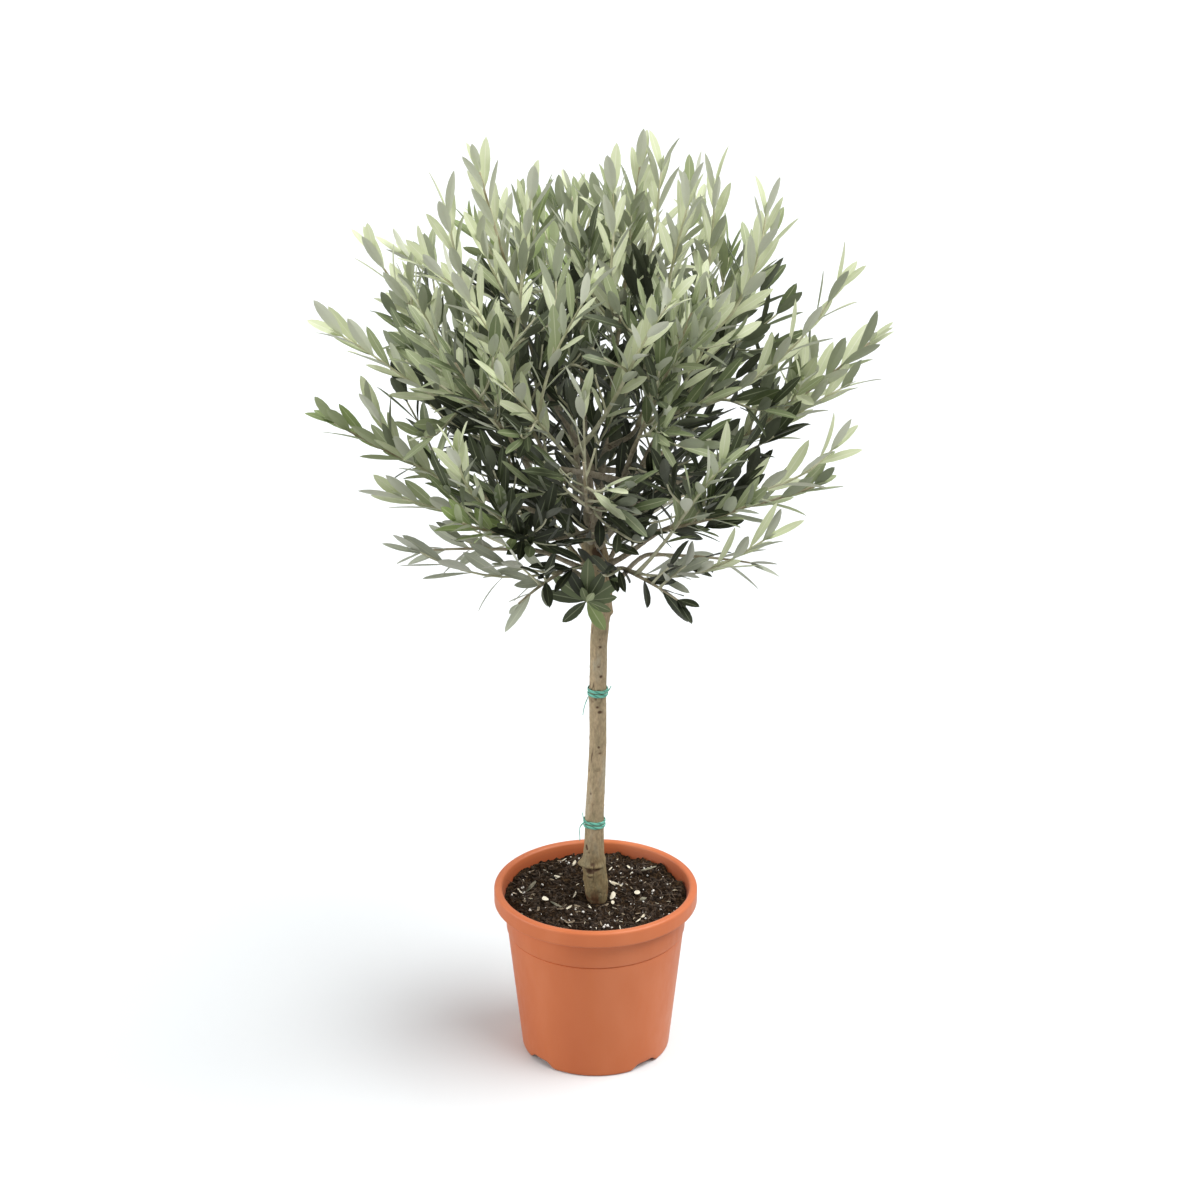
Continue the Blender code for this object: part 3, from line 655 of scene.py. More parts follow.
@dataclass(frozen=True)
class LeafSkin:
    """One face of a leaf in one tone: a plain colour under fine leathery relief."""

    name: str
    colour: Triple
    roughness: float
    sheen: float = 0.0

    def material(self) -> Material:
        """A plain colour, because the tone, painted light and painted shade on the leaf's colour, is
        dealt out spray by spray.

        Returns:
            The material.
        """
        board = Finish(self.name, self.roughness)
        board.shader.inputs["Base Color"].default_value = (*self.colour, 1.0)
        board.shader.inputs["Sheen Weight"].default_value = self.sheen
        board.shader.inputs["Sheen Roughness"].default_value = 0.5
        board.shader.inputs["Specular IOR Level"].default_value = 0.45
        patches = board.noise(220.0, 2.0)
        board.roughness(board.spread(patches, 0.3, 0.7, self.roughness - 0.06, self.roughness + 0.08))
        board.bump(board.sum(board.noise(650.0, 2.0), patches, 0.8), 0.00022, 0.5)
        return board.material


@dataclass(frozen=True)
class Twine:
    """Twisted garden twine: teal, with a painted highlight on the crowns of its plies and painted shade
    between them.
    """

    # pale is the painted highlight on the ply crowns, deep the painted shade between them
    pale: Triple = (0.17, 0.55, 0.42)
    deep: Triple = (0.012, 0.15, 0.10)

    def material(self) -> Material:
        """Painted highlight on the crowns of the plies, painted shade between them.

        Returns:
            The material.
        """
        board = Finish("twine_finish", 0.62)
        plies = board.attribute("ply")
        fibres = board.noise(1400.0, 3.0)
        # painted highlight on the ply crowns and painted shade between them, with fibres mixed in
        board.colour(board.ramp(board.sum(plies, fibres, 0.5), ((0.25, self.deep), (0.95, self.pale))))
        board.bump(fibres, 0.00015, 0.7)
        board.shader.inputs["Sheen Weight"].default_value = 0.2
        return board.material


class LeafTone(Enum):
    """The tones that leaves come in, dealt out spray by spray; most are lit and shaded copies of one
    colour, painted light and painted shade.
    """

    SILVER = "silver"
    SAGE = "sage"
    OLIVE = "olive"
    SHADE = "shade"
    DEEP = "deep"
    FRESH = "fresh"
    MIST = "mist"


@dataclass(frozen=True)
class LeafColours:
    """Upper face, underside and midrib of one tone."""

    upper: Triple
    under: Triple
    midrib: Triple


# Each tone's upper face, underside and midrib. The five tones from the lightest to the darkest are lit
# and shaded copies of one leaf colour: painted light and painted shade. The fresh tone is the yellower
# green of young leaves, the mist tone a paler grey for low outer sprays.
LEAF_COLOURS: dict[LeafTone, LeafColours] = {
    LeafTone.SILVER: LeafColours((0.625, 0.675, 0.440), (0.625, 0.655, 0.515), (0.705, 0.735, 0.550)),
    LeafTone.SAGE: LeafColours((0.353, 0.407, 0.223), (0.407, 0.447, 0.312), (0.520, 0.565, 0.360)),
    LeafTone.OLIVE: LeafColours((0.147, 0.185, 0.083), (0.230, 0.262, 0.171), (0.335, 0.370, 0.215)),
    LeafTone.SHADE: LeafColours((0.056, 0.073, 0.030), (0.109, 0.126, 0.077), (0.200, 0.228, 0.132)),
    LeafTone.DEEP: LeafColours((0.021, 0.028, 0.010), (0.052, 0.061, 0.035), (0.110, 0.130, 0.072)),
    LeafTone.FRESH: LeafColours((0.260, 0.335, 0.125), (0.350, 0.405, 0.220), (0.430, 0.490, 0.250)),
    LeafTone.MIST: LeafColours((0.460, 0.490, 0.385), (0.540, 0.560, 0.460), (0.560, 0.590, 0.450)),
}

# The least light of each tone, from the lightest tone to the darkest.
TONE_FLOORS: dict[LeafTone, float] = {
    LeafTone.SILVER: 0.84, LeafTone.SAGE: 0.66, LeafTone.OLIVE: 0.50, LeafTone.SHADE: 0.36,
    LeafTone.DEEP: -math.inf,
}


# ---- pot
@dataclass
class NurseryPot:
    """The round pot: rolled rim, collar, tapered body, four feet and a raised, drained floor."""

    height: float = 0.1833
    rim_radius: float = 0.105
    rim_width: float = 0.0083
    rim_band: float = 0.0175
    collar_top: float = 0.0937
    collar_foot: float = 0.0925
    collar_height: float = 0.0285
    step_drop: float = 0.0035
    body_top: float = 0.0912
    body_foot: float = 0.0772
    wall: float = 0.0020
    corner: float = 0.0030
    floor_top: float = 0.0075
    recess: float = 0.0050
    pad_radius: float = 0.030
    axis: float = 0.0004
    foot_ring: float = 0.0115
    drain_ring: float = 0.048
    drain_radius: float = 0.004
    drain_count: int = 4
    notch_azimuth: float = math.radians(-138.0)
    notch_count: int = 4
    notch_half_width: float = 0.0210
    notch_slope: float = 0.0130
    notch_rise: float = 0.0064
    segments: int = 256
    finish: TerracottaPlastic = field(default_factory=TerracottaPlastic)

    def curve(
        self, centre: tuple[float, float], radius: float, start: float, end: float, count: int
    ) -> list[tuple[float, float]]:
        """Points of a round in the profile, centre plus radius, from one angle to another in degrees."""
        angles = np.radians(np.linspace(start, end, count))
        return [(centre[0] + radius * math.cos(a), centre[1] + radius * math.sin(a)) for a in angles]

    def profile(self) -> Array:
        """Radius and height from the middle of the underside, up the outside, down the inside.

        Returns:
            Rows of radius and height.
        """
        pad = self.pad_radius
        recess = self.recess
        ring = self.body_foot - self.foot_ring
        corner = self.corner
        top = self.height - self.rim_band
        foot = top - self.collar_height
        body = self.body_top
        collar = self.collar_foot
        rim = self.rim_radius
        rows = [(self.axis, 0.0), (pad * 0.5, 0.0), (pad - 0.001, 0.0), (pad, 0.0004)]
        rows += [(pad + 0.0012, recess - 0.0006), (pad + 0.002, recess), (self.drain_ring, recess)]
        rows += [(ring - 0.0006, recess), (ring, recess - 0.0006)]
        rows += [(ring + 0.0012, 0.0005), (ring + 0.002, 0.0)]
        rows += self.curve((self.body_foot - corner, corner), corner, -90, -6, 7)
        low = np.array((self.body_foot, corner))
        high = np.array((body, foot - self.step_drop))
        rows += [tuple(row) for row in low + (high - low) * np.linspace(0.02, 0.990, 22)[:, None]]
        rows += [(body - 0.0002, foot - 0.0024), (body - 0.0009, foot - 0.0019)]
        rows += [(body - 0.0009, foot - 0.0010), (collar - 0.0003, foot - 0.0004)]
        rows += [(collar, foot + 0.0004), (collar + 0.0005, foot + 0.012)]
        rows += [(self.collar_top - 0.0002, top - 0.004), (self.collar_top, top - 0.0012)]
        rows += [(self.collar_top + 0.0014, top), (rim - 0.0022, top + 0.0004)]
        rows += self.curve((rim - 0.0018, top + 0.0022), 0.0018, -70, 0, 5)
        rows += [(rim, top + 0.006), (rim, self.height - corner - 0.003)]
        rows += self.curve((rim - corner, self.height - corner), corner, 0, 90, 7)
        inside = rim - self.rim_width
        rows += self.curve((inside + corner, self.height - corner), corner, 90, 172, 7)
        rows += [(inside - 0.0008, self.height - 0.0075), (self.collar_top - self.wall / 2, top)]
        rows += [(collar - self.wall, foot), (body - self.wall, foot - self.step_drop)]
        rows += [(self.body_foot - 0.0022, self.floor_top + 0.002)]
        rows += [(self.body_foot - 0.0042, self.floor_top), (self.axis, self.floor_top)]
        return np.array(rows)

    def notch_height(self, angles: Array) -> Array:
        """How far the foot ring is lifted: a flat-topped arch at each notch, with S-shaped sides.

        Args:
            angles: round the pot.

        Returns:
            The lift at each.
        """
        turn = 2 * math.pi / self.notch_count
        off = (angles - self.notch_azimuth + turn / 2) % turn - turn / 2
        along = np.abs(off) * self.body_foot
        low = self.notch_half_width - self.notch_slope
        return self.notch_rise * (1.0 - smooth_step(along, low, self.notch_half_width))

    def build(self) -> Piece:
        """The turned wall, with the foot ring lifted at the notches and the floor drained.

        Returns:
            The pot.
        """
        profile = self.profile()
        rings = turned_surface(profile, self.segments)
        lift = self.notch_height(circle(self.segments))
        outside = (profile[:, 0] > self.pad_radius + 0.002) & (profile[:, 1] < self.recess + 0.004)
        outside &= np.arange(len(profile)) < len(profile) - 4
        rows = np.nonzero(outside)[0]
        level = rings[rows, :, 2]
        within = profile[rows, 0] < self.body_foot - self.corner + 0.0003
        ceiling = np.where(within, self.recess + 0.0008, 1.0)
        raised = np.maximum(level, np.minimum(lift[None] + level * 0.25, ceiling[:, None]))
        rings[rows, :, 2] = np.where(lift[None] > 0, raised, level)
        faces = closed_grid(len(profile), self.segments)
        pot = make_piece("nursery_pot", rings, faces, [self.finish.material()], sharp=50)
        # inside: 0 at the rim, 1 a little way down the inside wall, where the finish paints shade
        depth = np.where(np.arange(len(profile)) > len(profile) - 10, self.height - profile[:, 1], 0.0)
        set_attribute(pot, "inside", np.repeat(smooth_step(depth, 0.001, 0.012), self.segments))
        self.drain(pot)
        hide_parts("pot")
        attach(pot, BODY)
        return pot

    def drain(self, pot: Piece) -> None:
        """Cut the drain holes through the raised floor, each with a peg half a step round.

        Args:
            pot: the pot, whose mesh is replaced.
        """
        count = self.drain_count
        centres = outward(2 * math.pi * (np.arange(count) + 0.5) / count) * self.drain_ring
        paths = np.stack((centres, centres + UP * 2 * self.floor_top), axis=1)
        rings = tube_rings(paths, np.full((count, 2), self.drain_radius), 24)
        pegs = make_piece("drain_pegs", rings, tube_faces(count, 2, 24), [])
        cut = pot.modifiers.new("drain", "BOOLEAN")
        cut.operation = "DIFFERENCE"
        cut.solver = "EXACT"
        cut.object = pegs
        depsgraph = bpy.context.evaluated_depsgraph_get()
        old = pot.data
        pot.data = bpy.data.meshes.new_from_object(pot.evaluated_get(depsgraph))
        pot.modifiers.clear()
        bpy.data.meshes.remove(old)
        bpy.data.objects.remove(pegs)


# ---- soil
# Splinters and leaves on the peat: place across and forward, azimuth, length and width.
PALE_BITS: tuple[tuple[float, float, float, float, float], ...] = (
    (0.0204, 0.0276, -32, 0.0160, 0.0044),
    (0.0180, 0.0018, 76, 0.0125, 0.0050),
    (0.0177, -0.0112, 81, 0.0075, 0.0036),
    (0.0431, 0.0051, 77, 0.0095, 0.0060),
    (-0.0291, -0.0274, 57, 0.0180, 0.0052),
    (0.0490, -0.0450, 64, 0.0150, 0.0026),
    (0.0156, 0.0562, 76, 0.0120, 0.0032),
    (-0.0227, 0.0680, 72, 0.0105, 0.0030),
    (0.0346, 0.0647, -65, 0.0075, 0.0028),
    (-0.0406, 0.0410, -19, 0.0070, 0.0030),
    (-0.0212, 0.0078, 75, 0.0120, 0.0020),
    (-0.0850, 0.0050, -61, 0.0115, 0.0018),
    (-0.0790, 0.0050, -67, 0.0135, 0.0020),
    (-0.0522, -0.0182, -54, 0.0085, 0.0058),
    (-0.0065, -0.0145, -67, 0.0095, 0.0021),
    (0.0437, -0.0534, 50, 0.0080, 0.0024),
)
FALLEN_LEAVES: tuple[tuple[float, float, float, float, float], ...] = (
    (-0.0396, -0.0204, -43, 0.0195, 0.0080),
    (-0.0670, 0.0180, 62, 0.0200, 0.0085),
    (0.0495, -0.0041, 60, 0.0120, 0.0055),
    (0.0560, 0.0520, 20, 0.0180, 0.0050),
)


@dataclass
class PottingSoil:
    """Peat up to the trunk's foot, with perlite, wood chips, fibres and fallen leaves on it."""

    level: float = SOIL_LEVEL
    rise: float = 0.0045
    radius: float = 0.0931
    rings: int = 110
    segments: int = 420
    crumbs: int = 2500
    perlite: int = 120
    chips: int = 40
    straws: int = 34
    fibres: int = 260
    seed: int = 41

    def height(self, x: Array, y: Array) -> Array:
        """Height of the surface: a shallow dish round the trunk, with clods, crumbs and pits.

        Args:
            x, y: places.

        Returns:
            The level, plus the dish's rise, plus three noises that fade at the trunk.
        """
        radius = np.hypot(x, y)
        out = smooth_step(radius, 0.013, 0.075)
        place = np.stack((x, y, np.zeros_like(x)), axis=-1)
        clods = layered_noise(place * 60.0, 3, 2) - 0.5
        crumbs = layered_noise(place * 210.0, 7, 3) - 0.5
        rough = 0.0080 * clods + 0.0072 * crumbs + 0.0026 * (ridges(place * 130.0, 11) - 0.6)
        near_trunk = smooth_step(radius, 0.010, 0.020)
        return self.level - 0.0005 + self.rise * out + rough * (0.35 + 0.65 * near_trunk)

    def surface(self, radius: Array, angle: Array) -> Array:
        """Points of the surface at distances and angles round the middle."""
        x, y = radius * np.cos(angle), radius * np.sin(angle)
        return np.stack((x, y, self.height(x, y)), axis=-1)

    def build(self) -> list[Piece]:
        """The peat and all that lies on it.

        Returns:
            The pieces, the peat first.
        """
        pieces = [self.bed(), self.loose_crumbs(), self.perlite_grains()]
        pieces += [self.wood_chips(), self.pale_bits(), self.root_fibres(), self.fallen_leaves()]
        for piece in pieces:
            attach(piece, BODY)
        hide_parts("soil")
        return pieces

    def bed(self) -> Piece:
        """The relief from the pot's wall to the middle, closed below by a shallow bowl.

        Returns:
            The piece.
        """
        share = np.linspace(1.0, 0.0, self.rings)
        radii = 0.0004 + (self.radius - 0.0004) * share**0.8
        angles = circle(self.segments)
        top = self.surface(radii[:, None], angles)
        under = turned_surface(np.array([(0.0004, 0.10), (0.078, 0.10), (0.0868, 0.135)]), self.segments)
        points = np.concatenate((under, top))
        faces = closed_grid(len(points), self.segments)
        return make_piece("peat_bed", points, faces, [Peat().material()])

    def scatter(self, rng: np.random.Generator, count: int, inner: float, outer: float) -> Array:
        """Even places on the surface between two radii, clear of the trunk."""
        radius = np.sqrt(rng.uniform(inner**2, outer**2, count))
        return self.surface(radius, rng.uniform(0, 2 * math.pi, count))

    def laid(self, table: Array, lift: float) -> Array:
        """The places of a table's rows, a little above the surface."""
        return np.column_stack((table[:, :2], self.height(table[:, 0], table[:, 1]) + lift))

    def lumps(
        self, name: str, rng: np.random.Generator, centres: Array, sizes: Array, finish: LitterFinish
    ) -> Piece:
        """Small uneven lumps: a six-by-four globe, each radius shaken, squashed and turned.

        Args:
            name: the piece's name.
            rng: the random draws.
            centres, sizes: where the lumps lie, and their radii.
            finish: what they are made of.

        Returns:
            The lumps as one piece.
        """
        rows, columns = 4, 6
        polar = np.linspace(0.35, math.pi - 0.35, rows)
        globe = turned_surface(np.stack((np.sin(polar), np.cos(polar)), axis=-1), columns)
        count = len(centres)
        shake = rng.uniform(0.72, 1.28, (count, rows, columns, 1))
        squash = rng.uniform(0.55, 1.25, (count, 1, 1, 3))
        local = globe[None] * shake * squash * sizes[:, None, None, None]
        turn = self.random_turns(rng, count)
        points = np.einsum("nij,nrcj->nrci", turn, local) + centres[:, None, None]
        faces = [part[:, ::-1] for part in tube_faces(count, rows, columns)]
        return make_piece(name, points, faces, [finish.material()])

    def random_turns(self, rng: np.random.Generator, count: int) -> Array:
        """Even random turns, as matrices from unit quaternions.

        Args:
            rng: the random draws.
            count: how many.

        Returns:
            A matrix for each.
        """
        w, x, y, z = unit(rng.normal(size=(count, 4))).T
        first = (1 - 2 * (y * y + z * z), 2 * (x * y - z * w), 2 * (x * z + y * w))
        second = (2 * (x * y + z * w), 1 - 2 * (x * x + z * z), 2 * (y * z - x * w))
        third = (2 * (x * z - y * w), 2 * (y * z + x * w), 1 - 2 * (x * x + y * y))
        return np.moveaxis(np.array((first, second, third)), 2, 0)

    def loose_crumbs(self) -> Piece:
        """Loose crumbs of peat.

        Returns:
            The piece.
        """
        rng = np.random.default_rng(self.seed)
        centres = self.scatter(rng, self.crumbs, 0.013, 0.0885)
        sizes = 0.0006 + 0.0021 * rng.random(self.crumbs) ** 2.5
        finish = LitterFinish("crumb_finish", (0.056, 0.034, 0.018), (0.008, 0.0045, 0.0024), 260.0, 0.95)
        return self.lumps("peat_crumbs", rng, centres, sizes, finish)

    def perlite_grains(self) -> Piece:
        """White grains of perlite, most of them small.

        Returns:
            The piece.
        """
        rng = np.random.default_rng(self.seed + 1)
        centres = self.scatter(rng, self.perlite, 0.016, 0.088)
        centres[:, 2] += 0.0004
        sizes = 0.00055 + 0.0013 * rng.random(self.perlite) ** 2
        finish = LitterFinish("perlite_finish", (0.90, 0.88, 0.83), (0.74, 0.71, 0.64), 500.0, 0.85)
        return self.lumps("perlite", rng, centres, sizes, finish)

    def slivers(
        self, name: str, rng: np.random.Generator, centres: Array, lengths: Array, widths: Array,
        thickness: float, finish: LitterFinish, bend: float = 0.15, headings: Array | None = None,
    ) -> Piece:
        """Flat slivers: a lens outline along a bent line, closed top and bottom.

        Args:
            name: the piece's name.
            rng: the random draws.
            centres, lengths, widths: places and sizes.
            thickness: in the middle of each.
            finish: what they are made of.
            bend: how much they bow, as a share of half the length.
            headings: azimuths in degrees; random if not given.

        Returns:
            The slivers as one piece.
        """
        count = len(centres)
        stations = np.linspace(-1.0, 1.0, 9)
        outline = np.sqrt(np.clip(1.0 - stations**2, 0.03, 1.0))
        azimuth = rng.uniform(0, 2 * math.pi, count) if headings is None else np.radians(headings)
        tilt = rng.normal(0, 0.16, count)
        way = outward(azimuth) * np.cos(tilt)[:, None] + UP * np.sin(tilt)[:, None]
        roll = rng.normal(0, 0.35, count)
        flat = unit(np.cross(UP, way))
        face = np.cross(way, flat)
        side = flat * np.cos(roll)[:, None] + face * np.sin(roll)[:, None]
        face = np.cross(way, side)
        bow = bend * rng.normal(1.0, 0.6, count)[:, None] * stations**2
        spine = centres[:, None] + way[:, None] * (stations * lengths[:, None] / 2)[..., None]
        spine = spine + side[:, None] * (bow * lengths[:, None] / 2)[..., None]
        half = outline * widths[:, None] / 2
        out = side[:, None] * half[..., None]
        up = face[:, None] * (outline * thickness / 2)[..., None]
        points = np.stack((spine - out, spine + up, spine + out, spine - up), axis=2)
        faces = [part[:, ::-1] for part in tube_faces(count, len(stations), 4)]
        return make_piece(name, points, faces, [finish.material()], sharp=40)

    def wood_chips(self) -> Piece:
        """Pale chips of wood and bark.

        Returns:
            The piece.
        """
        rng = np.random.default_rng(self.seed + 2)
        centres = self.scatter(rng, self.chips, 0.018, 0.086)
        centres[:, 2] += 0.0009
        lengths = rng.uniform(0.003, 0.0095, self.chips)
        widths = lengths * rng.uniform(0.22, 0.45, self.chips)
        finish = LitterFinish("chip_finish", (0.34, 0.27, 0.18), (0.12, 0.085, 0.052), 240.0, 0.8)
        return self.slivers("wood_chips", rng, centres, lengths, widths, 0.0011, finish)

    def pale_bits(self) -> Piece:
        """Bleached splinters: the large ones where `PALE_BITS` puts them, straws between them.

        Returns:
            The piece.
        """
        rng = np.random.default_rng(self.seed + 4)
        table = np.array(PALE_BITS)
        straws = self.scatter(rng, self.straws, 0.020, 0.088) + UP * 0.0012
        centres = np.concatenate((self.laid(table, 0.0019), straws))
        lengths = np.concatenate((table[:, 3], rng.uniform(0.003, 0.0075, self.straws)))
        widths = np.concatenate((table[:, 4], rng.uniform(0.0006, 0.0014, self.straws)))
        headings = np.concatenate((table[:, 2], rng.uniform(0, 360, self.straws)))
        finish = LitterFinish("pale_bit_finish", (0.86, 0.80, 0.64), (0.58, 0.50, 0.35), 150.0, 0.8)
        return self.slivers("pale_bits", rng, centres, lengths, widths, 0.0011, finish, 0.10, headings)

    def root_fibres(self) -> Piece:
        """Thin fibres that lie over the crumbs.

        Returns:
            The piece.
        """
        rng = np.random.default_rng(self.seed + 3)
        centres = self.scatter(rng, self.fibres, 0.016, 0.086)
        centres[:, 2] += 0.0012
        lengths = rng.uniform(0.006, 0.021, self.fibres)
        finish = LitterFinish("fibre_finish", (0.17, 0.125, 0.085), (0.045, 0.031, 0.020), 200.0, 0.9)
        widths = np.full(self.fibres, 0.0006)
        return self.slivers("root_fibres", rng, centres, lengths, widths, 0.0005, finish, 0.45)

    def fallen_leaves(self) -> Piece:
        """A few dry leaves lying on the peat.

        Returns:
            The piece.
        """
        rng = np.random.default_rng(self.seed + 5)
        table = np.array(FALLEN_LEAVES)
        finish = LitterFinish("dry_leaf_finish", (0.30, 0.28, 0.20), (0.10, 0.10, 0.066), 150.0, 0.7)
        places = self.laid(table, 0.0022), table[:, 3], table[:, 4]
        return self.slivers("fallen_leaves", rng, *places, 0.0006, finish, 0.08, table[:, 2])


# ---- trunk
@dataclass
class Trunk:
    """The clear trunk, from its flat cut at soil level to the knuckle under the crown."""

    foot: float = SOIL_LEVEL
    top: float = 0.572
    dome: float = 0.012
    levels: tuple[float, ...] = (
        0.165, 0.173, 0.182, 0.196, 0.220, 0.245, 0.290, 0.340, 0.400, 0.450, 0.485, 0.540
    )
    radii: tuple[float, ...] = (
        0.0098, 0.0113, 0.0117, 0.0111, 0.0102, 0.0095, 0.0091, 0.0087, 0.0087, 0.0089, 0.0093, 0.0104
    )
    knuckle: float = 0.556
    knuckle_swell: float = 0.0022
    scar: float = 0.207
    scar_swell: float = 0.0024
    stub: float = 0.492
    stub_swell: float = 0.0016
    sway_heights: tuple[float, ...] = (
        0.164, 0.190, 0.220, 0.265, 0.305, 0.345, 0.400, 0.455, 0.520, 0.560, 0.590
    )
    sway_x: tuple[float, ...] = (
        0.0016, 0.0, -0.0016, -0.0012, 0.0009, 0.0025, 0.0022, 0.0032, 0.0080, -0.0020, -0.0060
    )
    sway_y: tuple[float, ...] = (
        0.0, 0.0006, 0.0010, 0.0012, 0.0015, 0.0018, 0.0016, 0.0, -0.0015, 0.0, 0.0
    )
    sides: int = 150
    rings: int = 560

    def centre(self, height: Array) -> Array:
        """Points on the swaying axis."""
        x, y = (np.interp(height, self.sway_heights, sway) for sway in (self.sway_x, self.sway_y))
        return np.stack((x, y, np.asarray(height, float)), axis=-1)

    def radius(self, height: Array, angle: Array) -> Array:
        """The trunk's radius: a taper with bells for the scar on the left, the stub and the knuckle.

        Args:
            height, angle: places on the trunk.

        Returns:
            The radius at each.
        """
        from_right = math.pi - np.abs(angle % (2 * math.pi) - math.pi)
        radius = np.interp(height, self.levels, self.radii) * (1 + 0.03 * np.sin(2 * angle + 9 * height))
        scar = hump(height, self.scar, 0.010) * hump(from_right, math.pi, 0.75)
        stub = hump(height, self.stub, 0.007) * hump(from_right, 0.0, 0.6)
        radius = radius + self.scar_swell * scar + self.stub_swell * stub
        return radius + self.knuckle_swell * hump(height, self.knuckle, 0.020)

    def marks(self, height: Array, angle: Array) -> Array:
        """Relief of single marks, each a bell in height times a bell in angle.

        The table's rows give height, azimuth in degrees, how tall and wide, and depth.

        Args:
            height, angle: places on the trunk.

        Returns:
            The relief at each, in metres.
        """
        table = (
            (0.2018, -120, 0.0022, 0.28, -0.0036), (0.1984, -118, 0.0016, 0.34, 0.0020),
            (0.1958, -122, 0.0010, 0.26, -0.0014), (0.2080, -118, 0.0026, 0.95, 0.0024),
            (0.2052, -150, 0.0010, 0.40, -0.0020), (0.2040, -106, 0.0010, 0.46, -0.0024),
            (0.2054, -68, 0.0010, 0.34, -0.0018), (0.2092, 186, 0.0032, 0.46, 0.0036),
            (0.2078, -62, 0.0022, 0.40, 0.0012), (0.1900, 176, 0.0040, 0.30, 0.0010),
            (0.1880, -20, 0.0036, 0.34, 0.0011), (0.1780, -140, 0.0040, 0.30, 0.0008),
            (0.2264, -134, 0.0018, 0.17, -0.0013), (0.2238, -124, 0.0014, 0.16, -0.0011),
            (0.2200, -70, 0.0050, 0.22, 0.0007), (0.2110, 4, 0.0050, 0.50, 0.0010),
            (0.2290, -146, 0.0028, 0.20, -0.0014), (0.2255, -128, 0.0022, 0.22, 0.0009),
            (0.1835, -88, 0.0040, 0.34, 0.0008), (0.4627, -84, 0.0024, 0.20, -0.0007),
            (0.4540, -80, 0.0018, 0.26, -0.0009), (0.4322, -86, 0.0016, 0.20, -0.0007),
            (0.4213, -70, 0.0018, 0.20, -0.0009), (0.3872, -94, 0.0016, 0.20, -0.0009),
            (0.3817, -76, 0.0016, 0.30, -0.0010), (0.3960, 172, 0.0060, 0.45, 0.0010),
            (0.3428, -84, 0.0018, 0.20, -0.0008), (0.3360, -74, 0.0014, 0.24, -0.0006),
            (0.3160, -86, 0.0016, 0.26, -0.0007), (0.2901, -128, 0.0018, 0.20, -0.0007),
            (0.2700, 60, 0.0040, 0.30, 0.0012), (0.2680, 62, 0.0020, 0.16, -0.0012),
            (0.3500, 110, 0.0035, 0.30, 0.0010), (0.4300, 80, 0.0030, 0.28, 0.0010),
            (0.4900, -20, 0.0035, 0.30, 0.0020), (0.5300, -115, 0.0035, 0.35, 0.0012),
            (0.5560, -75, 0.0045, 0.30, -0.0036), (0.5480, -80, 0.0030, 0.55, 0.0014),
            (0.5330, -30, 0.0045, 0.30, 0.0024),
        )
        total = np.zeros(np.broadcast(height, angle).shape)
        for at, azimuth, tall, wide, depth in table:
            off = (angle - math.radians(azimuth) + math.pi) % (2 * math.pi) - math.pi
            total += depth * hump(height, at, tall) * hump(off, 0.0, wide)
        return total

    def relief(self, points: Array) -> Array:
        """Bark relief: long shallow plates, cracks in patches, lumps and short marks.

        Args:
            points: places on the smooth trunk.

        Returns:
            Numbers from -1, in a crack, to 1.
        """
        plates = layered_noise(points * np.array((170.0, 170.0, 42.0)), 21, 3) - 0.5
        cracks = -smooth_step(ridges(points * np.array((260.0, 260.0, 70.0)), 33), 0.86, 1.0)
        lumps = layered_noise(points * np.array((90.0, 90.0, 60.0)), 52, 2) - 0.5
        marks = smooth_step(value_noise(points * np.array((330.0, 330.0, 520.0)), 64), 0.80, 0.97)
        patchy = smooth_step(layered_noise(points * 40.0, 77, 2), 0.42, 0.60)
        return 0.75 * plates + 0.7 * cracks * patchy + 0.5 * lumps + 0.4 * marks

    def build(self) -> Piece:
        """The trunk's skin with its relief, closed by the flat cut and the rounded knuckle.

        Returns:
            The piece.
        """
        climb = np.linspace(0.0, 1.0, self.rings)
        heights = self.foot - 0.006 + (self.top - self.dome - self.foot + 0.006) * climb
        shares = np.ones(self.rings)
        steps = np.radians(np.linspace(4, 88, 26))
        heights = np.concatenate((heights, self.top - self.dome + self.dome * np.sin(steps)))
        shares = np.concatenate((shares, np.cos(steps)))
        angle = circle(self.sides)[None]
        out = outward(angle)
        radius = self.radius(heights[:, None], angle) * shares[:, None]
        smooth = self.centre(heights)[:, None] + out * radius[..., None]
        relief = self.relief(smooth)
        marks = self.marks(heights[:, None], angle)
        rough = 1.0 + 0.9 * (1.0 - smooth_step(heights, 0.200, 0.250))[:, None]
        depth = 0.00062 * rough * relief + marks
        points = smooth + out * (depth * np.clip(shares[:, None] * 2.0, 0.0, 1.0))[..., None]
        faces = closed_grid(len(heights), self.sides)
        trunk = make_piece("trunk_bark", points, faces, [Bark().material()])
        # hollow: the sunken marks, which the bark's finish darkens as painted shade
        hollow = np.clip(marks / 0.0012, -1.0, 0.0)
        set_attribute(trunk, "relief", relief * rough**0.6 + 1.4 * hollow)
        level = np.repeat(heights, self.sides)
        under_crown = 0.6 * smooth_step(level, 0.525, 0.555)
        set_attribute(trunk, "low", 1.0 - smooth_step(level, 0.196, 0.262) + under_crown)
        blotch = layered_noise(smooth * 130.0, 58, 2).reshape(-1)
        wet = (1.0 - smooth_step(level, 0.170, 0.186)) * smooth_step(blotch, 0.36, 0.62)
        set_attribute(trunk, "foot", wet)
        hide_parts("trunk")
        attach(trunk, BODY)
        return trunk


